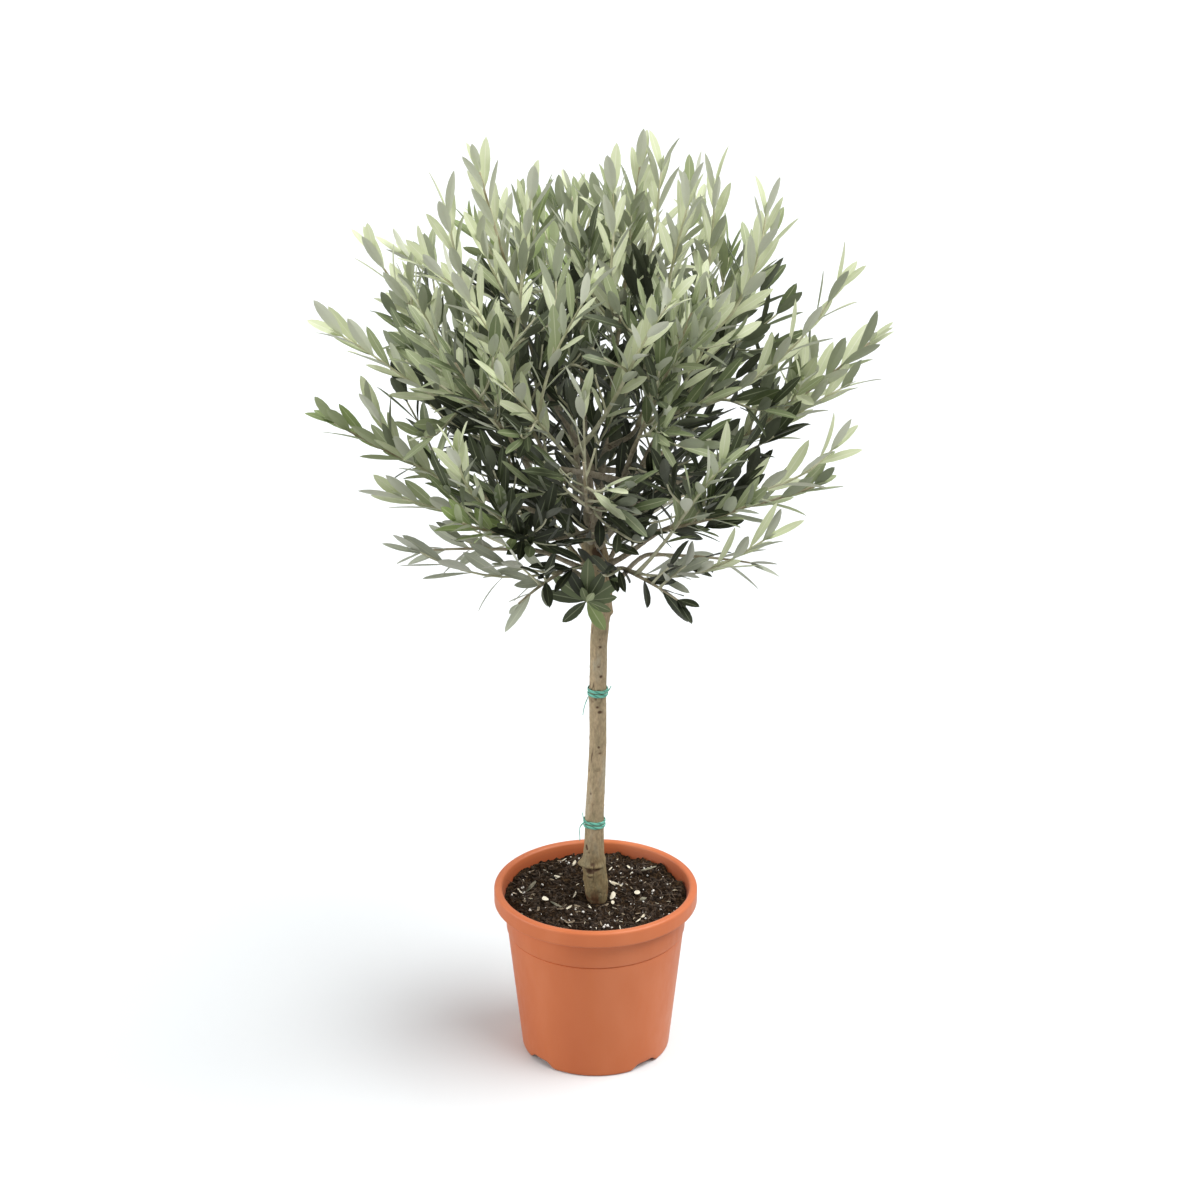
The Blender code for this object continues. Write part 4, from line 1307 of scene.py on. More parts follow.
# ---- ties
@dataclass
class TwineTie:
    """Two turns of two-ply twine drawn snug round the trunk, with its short ends."""

    name: str
    node: str
    height: float
    ends: tuple[tuple[Triple, ...], ...]
    strand: float = 0.0015
    end_share: float = 0.55
    ply_turn: float = 0.0090
    flat: Triple = (0.50, 0.50, 1.18)
    gap: float = 0.0012
    climb: float = 0.0044
    points_a_turn: int = 120
    sides: int = 12

    def coil(self, trunk: Trunk) -> Array:
        """The path of the turns: the trunk's own radius plus a gap, stepping up at the back.

        Args:
            trunk: what it is tied round.

        Returns:
            Points along it.
        """
        turns = 2.0
        t = np.linspace(0.0, turns, int(turns * self.points_a_turn))
        angle = -2 * math.pi * t + math.radians(85)
        wobble = 0.0002 * np.sin(3.0 * angle + 1.0)
        rise = (smooth_step(t, 0.82, 1.18) - 0.5) * self.climb + wobble
        height = self.height + rise
        radius = trunk.radius(height, angle) + self.gap
        centre = trunk.centre(height)
        return centre + outward(angle) * radius[:, None]

    def strand_mesh(self, path: Array, strand: float) -> tuple[Array, Array]:
        """A twisted strand: the radius swells twice round, and the swelling turns along it.

        Args:
            path: its centre line.
            strand: its radius.

        Returns:
            Rings of points, and how near each is to the crown of a ply.
        """
        rings = tube_rings(path[None], np.ones((1, len(path))), self.sides)[0] - path[:, None]
        angle = circle(self.sides)
        twist = 2 * math.pi * distances(path)[:, None] / self.ply_turn
        ply = np.abs(np.cos(angle[None] - twist / 2))
        radius = strand * (0.86 + 0.18 * ply)
        return path[:, None] + rings * np.array(self.flat) * radius[..., None], ply

    def build(self, trunk: Trunk, finish: Material) -> Piece:
        """The turns and the ends as one piece.

        Args:
            trunk: what it is tied round.
            finish: the twine's material.

        Returns:
            The piece.
        """
        paths = [self.coil(trunk)]
        for end in self.ends:
            first, second, last = np.array(end)
            paths.append(bezier(first, unit(second - first), last, unit(last - second), 40, 0.5))
        strands = []
        offset = 0
        for number, path in enumerate(paths):
            points, ply = self.strand_mesh(path, self.strand * (self.end_share if number else 1.0))
            faces = [part + offset for part in tube_faces(1, len(path), self.sides)]
            strands.append((points.reshape(-1, 3), ply.reshape(-1), *faces))
            offset += ply.size
        points, plies, quads, caps = (np.concatenate(parts) for parts in zip(*strands))
        tie = make_piece(self.name, points, [quads, caps], [finish])
        # ply: how near each point is to a ply's crown, where the twine's finish paints a highlight
        set_attribute(tie, "ply", plies)
        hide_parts(self.node)
        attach(tie, BODY)
        return tie


# ---- crown: masses and limbs
@dataclass(frozen=True)
class Mass:
    """One mass of foliage and the bough that carries it, as in the solids.

    The furthest tip lies `reach` from the fork at `azimuth` and `elevation`.  The bough
    leaves `parent` at `at`: a height on the trunk, a share of the length on another bough.
    `bare` is the share of the reach before the foliage begins, `twigs` the number of side
    twigs and `lift` how strongly the stem's end turns up.
    """

    name: str
    azimuth: float
    elevation: float
    reach: float
    parent: str
    at: float
    radius: float
    bare: float = 0.40
    twigs: int = 6
    lift: float = 0.10

    @property
    def hangs(self) -> bool:
        """True for the low masses, whose leaves droop."""
        return self.elevation <= 10


MASSES: tuple[Mass, ...] = (
    Mass("high_front_right", 302, 59, 0.364, "trunk", 0.556, 0.0056, 0.40, 7),
    Mass("shoulder_left", 176, 55, 0.392, "trunk", 0.553, 0.0054, 0.36, 8),
    Mass("shoulder_right", 12, 60, 0.384, "trunk", 0.557, 0.0054, 0.36, 7),
    Mass("high_back", 98, 66, 0.378, "trunk", 0.552, 0.0052, 0.40, 6),
    Mass("top", 30, 82, 0.428, "trunk", 0.560, 0.0052, 0.42, 7),
    Mass("top_left", 160, 73, 0.416, "top", 0.35, 0.0040, 0.48, 6),
    Mass("high_front_left", 228, 52, 0.330, "high_front_right", 0.70, 0.0036, 0.50, 6),
    Mass("side_left", 184, 29, 0.313, "shoulder_left", 0.34, 0.0038, 0.36, 7),
    Mass("side_right", 2, 38, 0.370, "shoulder_right", 0.38, 0.0040, 0.36, 8),
    Mass("back_left", 138, 30, 0.290, "high_back", 0.30, 0.0036, 0.40, 5),
    Mass("back_right", 52, 31, 0.300, "high_back", 0.52, 0.0036, 0.40, 5),
    Mass("front_left", 236, 24, 0.262, "high_front_right", 0.28, 0.0036, 0.34, 5),
    Mass("front", 268, 40, 0.275, "high_front_right", 0.50, 0.0034, 0.42, 5),
    Mass("front_right", 312, 26, 0.268, "high_front_right", 0.38, 0.0034, 0.36, 5),
    Mass("right", 350, 20, 0.262, "trunk", 0.538, 0.0032, 0.34, 5),
    Mass("inner_left", 190, 66, 0.270, "top", 0.25, 0.0030, 0.36, 5),
    Mass("inner_right", 335, 70, 0.290, "top", 0.55, 0.0030, 0.50, 5),
    Mass("low_right", 344, 1, 0.190, "trunk", 0.520, 0.0028, 0.34, 4, -0.08),
    Mass("low_front_right", 303, -1, 0.180, "trunk", 0.532, 0.0028, 0.36, 4, -0.08),
    Mass("low_front_left", 242, -2, 0.176, "trunk", 0.524, 0.0028, 0.36, 4, -0.08),
    Mass("low_left", 192, 4, 0.196, "trunk", 0.534, 0.0030, 0.34, 4, -0.08),
    Mass("low_back_left", 132, 3, 0.186, "trunk", 0.523, 0.0030, 0.34, 3, -0.08),
    Mass("low_back_right", 52, 4, 0.186, "trunk", 0.534, 0.0030, 0.34, 3, -0.08),
)


@dataclass(frozen=True)
class Leader:
    """A leading shoot: the four points it runs through and the length at its foot without leaves."""

    points: tuple[Triple, ...]
    bare: float = 0.03
    thick: float = 0.0018
    shown: bool = False
    # light: added to the light of its sprays; above nought it paints a lighter tone, below nought painted
    # shade, as on the short shoots by the knuckle
    light: float = 0.0


FRONT_FORK = ((-0.0034, -0.006, 0.5624), (-0.011, -0.022, 0.6103), (-0.0157, -0.034, 0.6457),
              (-0.0184, -0.045, 0.6731))

LEADERS: tuple[Leader, ...] = (
    Leader(((-0.0185, -0.045, 0.6721), (0.0054, -0.082, 0.7161), (0.0379, -0.160, 0.8068),
            (0.0642, -0.212, 0.8693)), 0.070, 0.0026, True, 0.15),
    Leader(((-0.0186, -0.038, 0.6564), (-0.037, -0.075, 0.6928), (-0.0603, -0.115, 0.7373),
            (-0.0838, -0.150, 0.777)), 0.050, 0.0021, True, 0.15),
    Leader(((-0.0469, -0.085, 0.7389), (-0.0416, -0.110, 0.7783), (-0.0227, -0.135, 0.8273),
            (-0.0045, -0.150, 0.8647)), 0.030, 0.0017, True, 0.15),
    Leader(((-0.0637, -0.050, 0.7271), (-0.0909, -0.090, 0.7942), (-0.1161, -0.110, 0.8434),
            (-0.1493, -0.125, 0.878)), 0.045),
    Leader(((-0.0615, -0.040, 0.7932), (-0.0679, -0.062, 0.8484), (-0.0634, -0.075, 0.8949),
            (-0.0583, -0.085, 0.9305))),
    Leader(((0.0431, -0.060, 0.5679), (0.0707, -0.105, 0.6113), (0.0923, -0.150, 0.6634),
            (0.115, -0.190, 0.7112)), 0.060, 0.0020, True, 0.15),
    Leader(((-0.0908, -0.080, 0.6169), (-0.1092, -0.130, 0.6559), (-0.1213, -0.160, 0.6887),
            (-0.1256, -0.175, 0.7164)), 0.060),
    Leader(((0.0914, -0.010, 0.6832), (0.1335, -0.025, 0.7268), (0.1862, -0.035, 0.7739),
            (0.2275, -0.040, 0.8342)), 0.040, 0.0019),
    Leader(((0.0676, -0.030, 0.5978), (0.1196, -0.055, 0.6279), (0.1758, -0.070, 0.6487),
            (0.2238, -0.075, 0.6858)), 0.070),
    Leader(((0.0434, -0.045, 0.5463), (0.0909, -0.080, 0.5604), (0.1375, -0.100, 0.589),
            (0.1597, -0.105, 0.6062)), 0.075, 0.0014),
    Leader(((0.0996, -0.030, 0.7504), (0.1338, -0.045, 0.8192), (0.1514, -0.050, 0.8661),
            (0.1579, -0.050, 0.9071))),
    Leader(((0.0909, 0.010, 0.7777), (0.1073, 0.010, 0.8373), (0.1113, 0.006, 0.8824),
            (0.1116, 0.004, 0.9147))),
    Leader(((0.0083, -0.040, 0.7932), (0.0147, -0.048, 0.8541), (0.0174, -0.050, 0.9009),
            (0.0165, -0.050, 0.9280)), 0.040),
    Leader(((-0.1393, -0.030, 0.6901), (-0.1801, -0.045, 0.7474), (-0.2195, -0.050, 0.7786),
            (-0.2380, -0.052, 0.7910)), 0.040),
    Leader(((-0.0344, -0.040, 0.5516), (-0.0726, -0.070, 0.5543), (-0.1195, -0.095, 0.5695),
            (-0.1658, -0.110, 0.596)), 0.070, 0.0014),
    Leader(((-0.0635, -0.030, 0.5978), (-0.1111, -0.050, 0.6075), (-0.1536, -0.060, 0.6216),
            (-0.1846, -0.065, 0.6336)), 0.050, 0.0013),
    Leader(((-0.1094, -0.020, 0.787), (-0.1251, -0.030, 0.839), (-0.1336, -0.034, 0.8789),
            (-0.1367, -0.036, 0.9033))),
    Leader(((0.1028, 0.020, 0.6208), (0.1459, 0.010, 0.6608), (0.1979, 0.000, 0.6981),
            (0.2373, -0.006, 0.7245)), 0.040),
    Leader(((0.0566, -0.060, 0.7056), (0.0881, -0.095, 0.7667), (0.101, -0.110, 0.8005),
            (0.1067, -0.120, 0.8294))),
    Leader(((0.0500, 0.010, 0.8200), (0.0550, 0.020, 0.8600), (0.0600, 0.030, 0.9000),
            (0.0625, 0.034, 0.9270))),
    Leader(((0.0685, -0.030, 0.8293), (0.0753, -0.040, 0.8709), (0.0822, -0.048, 0.9014),
            (0.0873, -0.052, 0.9288))),
    Leader(((-0.0053, -0.012, 0.5700), (-0.0168, -0.035, 0.5976), (-0.0281, -0.055, 0.6197),
            (-0.0375, -0.066, 0.6340)), 0.016, 0.0013, False, -0.25),
    Leader(((-0.0033, -0.012, 0.5615), (-0.0149, -0.035, 0.5789), (-0.0263, -0.055, 0.5929),
            (-0.0358, -0.068, 0.6010)), 0.016, 0.0013, False, -0.25),
    Leader(((0.0045, -0.012, 0.5679), (0.0132, -0.032, 0.5903), (0.0228, -0.050, 0.6096),
            (0.0313, -0.060, 0.6226)), 0.016, 0.0013, False, -0.25),
    Leader(((0.0065, -0.012, 0.5573), (0.0171, -0.035, 0.5737), (0.0277, -0.052, 0.5855),
            (0.0372, -0.064, 0.5933)), 0.016, 0.0013, False, -0.25),
    Leader(((0.0084, -0.012, 0.5425), (0.0143, -0.026, 0.5471), (0.0211, -0.038, 0.5508),
            (0.0268, -0.047, 0.5534)), 0.014, 0.0012, False, -0.25),
    Leader(((0.0006, -0.012, 0.5489), (-0.0072, -0.026, 0.5502), (-0.0150, -0.038, 0.5519),
            (-0.0227, -0.048, 0.5538)), 0.014, 0.0012, False, -0.25),
)

# Places inside the crown, right of the front limb, that stay open towards the front.
OPEN_HEART = ((0.0102, -0.050, 0.7321), (0.0310, -0.055, 0.7188), (0.0425, -0.055, 0.6938),
              (0.0188, -0.050, 0.6870), (0.0332, -0.045, 0.6599), (0.0103, -0.040, 0.6530),
              (-0.0085, -0.044, 0.5370), (0.0030, -0.044, 0.5290))


class Limbs:
    """The paths and radii of the boughs, by name, laid out by the rule of the solids."""

    def __init__(self, trunk: Trunk, tip_radius: float = 0.0020, points: int = 33) -> None:
        """Lay every bough from its parent to the foot of its mass.

        Args:
            trunk: what bears them.
            tip_radius: of every bough.
            points: how many along each path.
        """
        self.trunk = trunk
        self.tip_radius = tip_radius
        self.points = points
        self.paths: dict[str, Array] = {}
        self.radii: dict[str, Array] = {}
        for mass in MASSES:
            self.add(mass)
        for crossing in ("front", "front_left", "front_right"):
            self.radii[crossing] *= 0.6
        self.paths["front_fork"] = through(FRONT_FORK, points)
        self.radii["front_fork"] = np.linspace(0.0036, 0.0026, points)

    def start_of(self, mass: Mass) -> tuple[Array, Array]:
        """Where a bough leaves its parent.

        Args:
            mass: the mass that the bough carries.

        Returns:
            The point, and the way of the wood there.
        """
        if mass.parent == "trunk":
            return self.trunk.centre(np.array(mass.at)), UP
        return place_on(self.paths[mass.parent], mass.at)

    def add(self, mass: Mass) -> None:
        """One bough's path and radii: a cubic from its parent to the foot of its mass.

        Args:
            mass: the mass that it carries.
        """
        aim = heading(mass.azimuth, mass.elevation)
        foot = FORK + aim * mass.reach * mass.bare
        start, parent_way = self.start_of(mass)
        leaving = unit(unit(foot - start) + parent_way * 0.15)
        if mass.parent == "trunk":
            spread = heading(mass.azimuth, max(0.0, mass.elevation * 0.72))
            leaving = spread if mass.elevation < 75 else aim
        self.paths[mass.name] = bezier(start, leaving, foot, aim, self.points)
        self.radii[mass.name] = np.linspace(mass.radius, self.tip_radius, self.points)

    def build(self, stations: int = 130, sides: int = 22) -> Piece:
        """All boughs with their bark's relief: nodes, plates and a collar at the foot.

        Args:
            stations: rings along each.
            sides: points a ring.

        Returns:
            The piece.
        """
        paths = np.stack(list(self.paths.values()))
        radii = np.stack([self.radii[name] for name in self.paths])
        share = np.linspace(0.0, 1.0, stations)
        along = np.stack([distances(path) for path in paths])
        distance = share * along[:, -1:]
        rows = zip(distance, along, np.dstack((paths, radii)))
        finer, width = np.split(np.stack([read_along(*row) for row in rows]), [3], axis=2)
        width = width[..., 0]
        width *= 1.0 + 0.45 * np.exp(-distance / 0.007)
        phase = np.arange(len(paths))[:, None] * 0.37
        nodes = np.abs(np.sin(math.pi * (distance / 0.019 + phase)))
        width *= 1.0 + 0.16 * (1.0 - nodes) ** 6
        lane = np.broadcast_to(phase * 9.0, distance.shape)
        wander = layered_noise(np.stack((distance * 45.0, lane, 0.0 * lane), axis=-1), 5, 2) - 0.5
        finer[..., 0] += 0.0022 * wander * np.sin(math.pi * share)
        finer[..., 1] += 0.0022 * wander[:, ::-1] * np.sin(math.pi * share)
        rings = tube_rings(finer, width, sides)
        out = unit(rings - finer[:, :, None])
        relief = layered_noise(rings * np.array((300.0, 300.0, 130.0)), 91, 3) - 0.5
        cracks = ridges(rings * np.array((420.0, 420.0, 160.0)), 93)
        relief = relief - 0.6 * smooth_step(cracks, 0.88, 1.0)
        rings = rings + out * (0.00045 * relief)[..., None]
        tan, grey, moss = (0.430, 0.375, 0.275), (0.490, 0.440, 0.345), (0.280, 0.250, 0.175)
        finish = Bark("bough_bark_finish", tan, grey, moss=moss).material()
        boughs = make_piece("boughs", rings, tube_faces(len(paths), stations, sides), [finish])
        # relief: its cracks darken the bark, as their darker bark and as painted shade
        set_attribute(boughs, "relief", relief * 1.2)
        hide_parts(*["bough_" + mass.name for mass in MASSES])
        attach(boughs, BODY)
        return boughs


# ---- crown: growth
class Shape:
    """A small closed solid with its box and its search tree."""

    def __init__(self, vertices: Array, faces: list[tuple[int, ...]]) -> None:
        """Keep the solid ready for a crossing test.

        Args:
            vertices: its points.
            faces: point numbers of each face.
        """
        self.low = vertices.min(axis=0)
        self.high = vertices.max(axis=0)
        self.tree = BVHTree.FromPolygons([Vector(v) for v in vertices], faces)


class Thicket:
    """Everything that has grown so far, with a box search before each exact crossing test."""

    def __init__(self, room: int = 30000) -> None:
        """Make room for the shapes.

        Args:
            room: how many it can hold.
        """
        self.low = np.full((room, 3), np.inf)
        self.high = np.full((room, 3), -np.inf)
        self.shapes: list[Shape] = []

    def add(self, shape: Shape) -> int:
        """Keep a shape.

        Args:
            shape: what has grown.

        Returns:
            Its number.
        """
        number = len(self.shapes)
        self.low[number] = shape.low
        self.high[number] = shape.high
        self.shapes.append(shape)
        return number

    def crossed(self, shape: Shape, skipped: set[int]) -> bool:
        """Whether a shape crosses anything.

        Args:
            shape: the new shape.
            skipped: numbers of the shapes that it may touch.

        Returns:
            True when it does.
        """
        count = len(self.shapes)
        near = np.all((self.low[:count] < shape.high) & (self.high[:count] > shape.low), axis=1)
        numbers = set(np.nonzero(near)[0].tolist()) - skipped
        return any(shape.tree.overlap(self.shapes[number].tree) for number in numbers)


LEAF_TEST_FACES = [(0, 2, 4), (4, 2, 1), (0, 4, 3), (3, 4, 1), (0, 3, 2), (2, 3, 1)]


def leaf_test_shape(root: Array, way: Array, face: Array, length: float, width: float) -> Shape:
    """The stand-in of a leaf that the crossing tests use.

    Args:
        root: where the leaf starts.
        way, face: unit vectors along it and out of its upper side.
        length, width: its size.

    Returns:
        Six faces: from near the root to near the tip over two side points and a ridge.
    """
    side = np.cross(way, face) * width * 0.46
    middle = root + way * length * 0.48
    ends = root + way * 0.003, root + way * length * 0.98
    return Shape(np.array((*ends, middle + side, middle - side, middle + face * 0.0012)), LEAF_TEST_FACES)


def tube_test_shape(points: Array, radii: Array) -> Shape:
    """A three-sided closed tube for the crossing tests."""
    rings = tube_rings(points[None], radii[None], 3)[0].reshape(-1, 3)
    return Shape(rings, [tuple(face) for part in tube_faces(1, len(points), 3) for face in part.tolist()])


@dataclass
class Twig:
    """A twig: its path, order (0 is a stem), radii, tone, shape, mass, and how far leaves may stand."""

    points: Array
    order: int
    thick: float
    thin: float
    tone: LeafTone
    number: int
    mass: int
    reach: float = 0.0


@dataclass
class Leaf:
    """Where a leaf is rooted, how it points and faces, its size, and its bends."""

    root: Array
    way: Array
    face: Array
    length: float
    width: float
    droop: float
    fold: float
    twist: float
    tone: LeafTone


@dataclass(frozen=True)
class Bud:
    """Where a twig or a leaf starts on its twig, and how it leaves it.

    `share` is its place along the twig, `turn` the angle round it, `lean` the angle away from
    it, and `size` a new twig's length or a leaf's scale.
    """

    share: float
    turn: float
    lean: float
    size: float


@dataclass(frozen=True)
class GrowthRule:
    """The sizes of the rule by which every mass grows."""

    seed: int = 1000
    elevations: tuple[float, ...] = (-60, -30, -12, -3, 6, 15, 27, 40, 56, 74, 90)
    reaches: tuple[float, ...] = (
        0.06, 0.085, 0.132, 0.146, 0.150, 0.168, 0.228, 0.298, 0.346, 0.370, 0.374
    )
    box_margin: float = 0.0025
    trunk_room: float = 0.0125
    golden_angle: float = math.radians(137.5)
    stem_tip: float = 0.0010
    twig_bases: tuple[float, float] = (0.0014, 0.0009)
    twig_tips: tuple[float, float] = (0.0009, 0.0006)
    side_length: float = 0.105
    side_sizes: tuple[float, ...] = (1.0, 0.85, 0.7, 0.55, 0.42)
    side_turns: int = 10
    side_turn: float = 0.55
    side_gaps: tuple[float, float] = (0.55, 0.95)
    shortest: tuple[float, float] = (0.030, 0.034)
    fine_length: float = 0.066
    leaf_length: float = 0.0478
    leaf_width: float = 0.0106
    pair_spacing: float = 0.0205
    bare_feet: tuple[float, ...] = (0.030, 0.012, 0.007)
    lane_way: Array = field(default_factory=lambda: unit(np.array((0.0, -0.92, 0.38))))
    lane_start: float = 0.006
    lane_radius: float = 0.016
    outliers: float = 0.16
    fill_tries: int = 9000
    fill_shortest: float = 0.036
    fill_longest: float = 0.135
    leaf_tries: tuple[tuple[float, float], ...] = (
        (1.0, 0.0), (1.0, 0.4), (1.0, -0.4), (0.88, 0.8), (0.8, -0.8), (0.72, 0.2),
    )

    def reach_at(self, elevation: float) -> float:
        """The crown's outline: how far from the fork it reaches at an elevation in degrees."""
        return float(np.interp(elevation, self.elevations, self.reaches))


@dataclass(frozen=True)
class LightRule:
    """How much light a spray has, and so its tone.

    Light grows with the square of the share of the reach, with height and towards the sides,
    and sprays low in the middle lose some.  Chance then adds or takes some, less up high.
    """

    outside: float = 0.60
    height: float = 0.46
    full_height: float = 0.37
    side: float = 0.20
    low_middle: float = 0.20
    chance: tuple[float, float] = (-0.03, 0.20)
    dark_spray: float = 0.32
    dark_odds: float = 0.15
    chance_floor: float = -0.36
    mist_odds: float = 0.70
    fresh_odds: float = 0.04

    def pick(
        self, rng: random.Random, out: Array, elevation: float, share: float, light: float
    ) -> LeafTone:
        """A spray's tone.

        Args:
            rng: the random draws.
            out: its place from the fork.
            elevation: its elevation there in degrees.
            share: its distance as a share of the crown's reach.
            light: what its shoot adds.

        Returns:
            Silvery where the crown is high and outside, deep where it is low and inside.
        """
        high = np.clip(out[2] / self.full_height, 0.0, 1.0)
        aside = abs(out[0])
        place = self.outside * share**2 + self.height * high
        place += self.side * np.clip(aside / 0.16 - 0.55, 0.0, 1.0)
        chance = rng.gauss(*self.chance) - (self.dark_spray if rng.random() < self.dark_odds else 0.0)
        middle = np.clip(1.0 - aside / 0.09, 0.0, 1.0)
        place -= self.low_middle * middle * np.clip(1.0 - out[2] / 0.16, 0.0, 1.0)
        sun = place + light + max(chance, self.chance_floor + 0.20 * high)
        if elevation < 14 and share > 0.6 and sun > 0.38 and rng.random() < self.mist_odds:
            return LeafTone.MIST
        if sun > 0.62 and rng.random() < self.fresh_odds:
            return LeafTone.FRESH
        return next(tone for tone, floor in TONE_FLOORS.items() if sun > floor)


def from_fork(point: Array) -> tuple[Array, float, float]:
    """How a point lies from the fork.

    Args:
        point: the place.

    Returns:
        Its offset, its distance and its elevation in degrees.
    """
    out = point - FORK
    distance = np.linalg.norm(out)
    return out, distance, math.degrees(math.asin(out[2] / distance))


class Crown:
    """The whole crown: every mass grown, then its twigs and leaves made as joined pieces."""

    def __init__(self, limbs: Limbs, rule: GrowthRule) -> None:
        """Set out the spaces of the masses and the limbs to keep clear of.

        Args:
            limbs: the boughs, already laid.
            rule: the sizes of the growth.
        """
        self.limbs = limbs
        self.rule = rule
        self.light = LightRule()
        self.thicket = Thicket()
        self.twigs: list[Twig] = []
        self.leaves: list[Leaf] = []
        self.aims = np.array([heading(mass.azimuth, mass.elevation) for mass in MASSES])
        self.feet = np.array([limbs.paths[mass.name][-1] for mass in MASSES])
        reaches = np.array([mass.reach for mass in MASSES])
        self.spans = FORK + self.aims * reaches[:, None] - self.feet
        self.low = np.array(CAD_BOX[0]) + rule.box_margin
        self.high = np.array(CAD_BOX[1]) - rule.box_margin
        self.lane_feet = np.empty((0, 3))
        axis = limbs.trunk.centre(np.linspace(SOIL_LEVEL, limbs.trunk.top, 12))
        self.thicket.add(tube_test_shape(axis, np.full(12, rule.trunk_room)))
        self.limb_numbers: dict[str, int] = {}
        for name, path in limbs.paths.items():
            shape = tube_test_shape(path[::4], limbs.radii[name][::4])
            self.limb_numbers[name] = self.thicket.add(shape)

    def holds(self, index: int, points: Array, margin: float = 0.004) -> bool:
        """Whether a path keeps to its mass's space.

        Args:
            index: the mass.
            points: the path.
            margin: how far it may stray.

        Returns:
            True when all points lie nearer the mass's own stem than any other.
        """
        off = points[:, None] - self.feet
        along = (off * self.spans).sum(axis=2) / (self.spans**2).sum(axis=1)
        off -= np.clip(along, 0.0, 1.0)[:, :, None] * self.spans
        away = np.linalg.norm(off, axis=2)
        own = away[:, index].copy()
        away[:, index] = np.inf
        return bool(np.all(own - margin < away.min(axis=1)))

    def within_reach(self, point: Array, further: float = 0.0) -> bool:
        """Whether a point is inside the crown.

        Args:
            point: the place.
            further: a reach that counts where it is beyond the outline.

        Returns:
            True inside the outline or the further reach, and inside the solids' box.
        """
        _, distance, elevation = from_fork(point)
        limit = max(self.rule.reach_at(elevation), further)
        return bool(distance < limit and np.all(point > self.low) and np.all(point < self.high))

    def opened(self, *points: Array) -> bool:
        """Whether points would hide what stands out.

        Args:
            points: the places.

        Returns:
            True where one lies in a lane in front of the limb and shoots that stand out.
        """
        off = np.array(points)[:, None] - self.lane_feet
        along = off @ self.rule.lane_way
        aside = np.linalg.norm(off - along[..., None] * self.rule.lane_way, axis=-1)
        return bool(np.any((along > self.rule.lane_start) & (aside < self.rule.lane_radius)))

    def add_twig(self, points: Array, order: int, radii: tuple[float, float], index: int,
                 rng: random.Random, shape: Shape, light: float = 0.0) -> Twig:
        """Keep a twig that has grown.

        Args:
            points: its path.
            order: 0 for a stem, 1 for its side twigs and for shoots, 2 for finer twigs.
            radii: at its foot and tip.
            index: its mass.
            rng: the random draws.
            shape: its stand-in in the crossing tests.
            light: moves the tone of its leaves.

        Returns:
            The twig.
        """
        out, distance, elevation = from_fork(points[-1])
        share = min(distance / self.rule.reach_at(elevation), 1.1)
        tone = self.light.pick(rng, out, elevation, share, light)
        self.twigs.append(Twig(points, order, *radii, tone, self.thicket.add(shape), index))
        return self.twigs[-1]

    def grow_stem(self, index: int, rng: random.Random) -> Twig:
        """The stem of a mass, from its bough's tip to its furthest tip.

        Args:
            index: the mass.
            rng: the random draws.

        Returns:
            The stem.
        """
        mass = MASSES[index]
        path = self.limbs.paths[mass.name]
        aim = ways(path)[-1]
        foot = path[-1] - aim * 0.001
        tip = FORK + self.aims[index] * mass.reach
        leaf_end = tip - unit(tip - foot) * self.rule.leaf_length * 0.62
        points = bezier(foot, aim, leaf_end, unit(unit(leaf_end - foot) + UP * mass.lift), 13)
        radii = self.limbs.tip_radius, self.rule.stem_tip
        shape = tube_test_shape(points[1:], np.linspace(*radii, 13)[1:])
        stem = self.add_twig(points, 0, radii, index, rng, shape)
        stem.reach = mass.reach
        return stem

    def grow_side(self, parent: Twig, bud: Bud, order: int, rng: random.Random) -> Twig | None:
        """One side twig, turned and shortened until it is clear.

        Args:
            parent: the twig that bears it.
            bud: where it starts and how it leaves.
            order: 1 on a stem, 2 for the finer twigs.
            rng: the random draws.

        Returns:
            The twig, or none if it is never clear.
        """
        rule = self.rule
        start, way = place_on(parent.points, bud.share)
        radii = rule.twig_bases[order - 1], rule.twig_tips[order - 1]
        limb = self.limb_numbers[MASSES[parent.mass].name]
        for attempt in range(rule.side_turns):
            side = across(way, bud.turn + attempt * rule.side_turn)
            leaving = unit(way * math.cos(bud.lean) + side * math.sin(bud.lean))
            for shrink in rule.side_sizes:
                reach = bud.size * shrink
                if reach < rule.shortest[order - 1]:
                    continue
                end = start + unit(leaving + way * 0.35 + UP * 0.22) * reach
                if not self.within_reach(end + leaving * rule.leaf_length * 0.7) or self.opened(end):
                    continue
                if rng.random() < rule.side_gaps[order - 1] * self.side_gap(end):
                    return None
                points = bezier(start, leaving, end, unit(leaving + way * 0.7 + UP * 0.45), 8)
                if not self.holds(parent.mass, points):
                    continue
                shape = tube_test_shape(points[1:], np.linspace(*radii, 7))
                if not self.thicket.crossed(shape, {parent.number, limb}):
                    return self.add_twig(points, order, radii, parent.mass, rng, shape)
        return None

    def side_gap(self, point: Array) -> float:
        """0 in the middle of the crown, 1 at its sides and low down, where sky shows between shoots."""
        aside = float(np.interp(abs(point[0] - FORK[0]), (0.08, 0.15), (0.0, 1.0)))
        return aside * float(np.interp(point[2], (0.64, 0.74), (1.0, 0.30)))

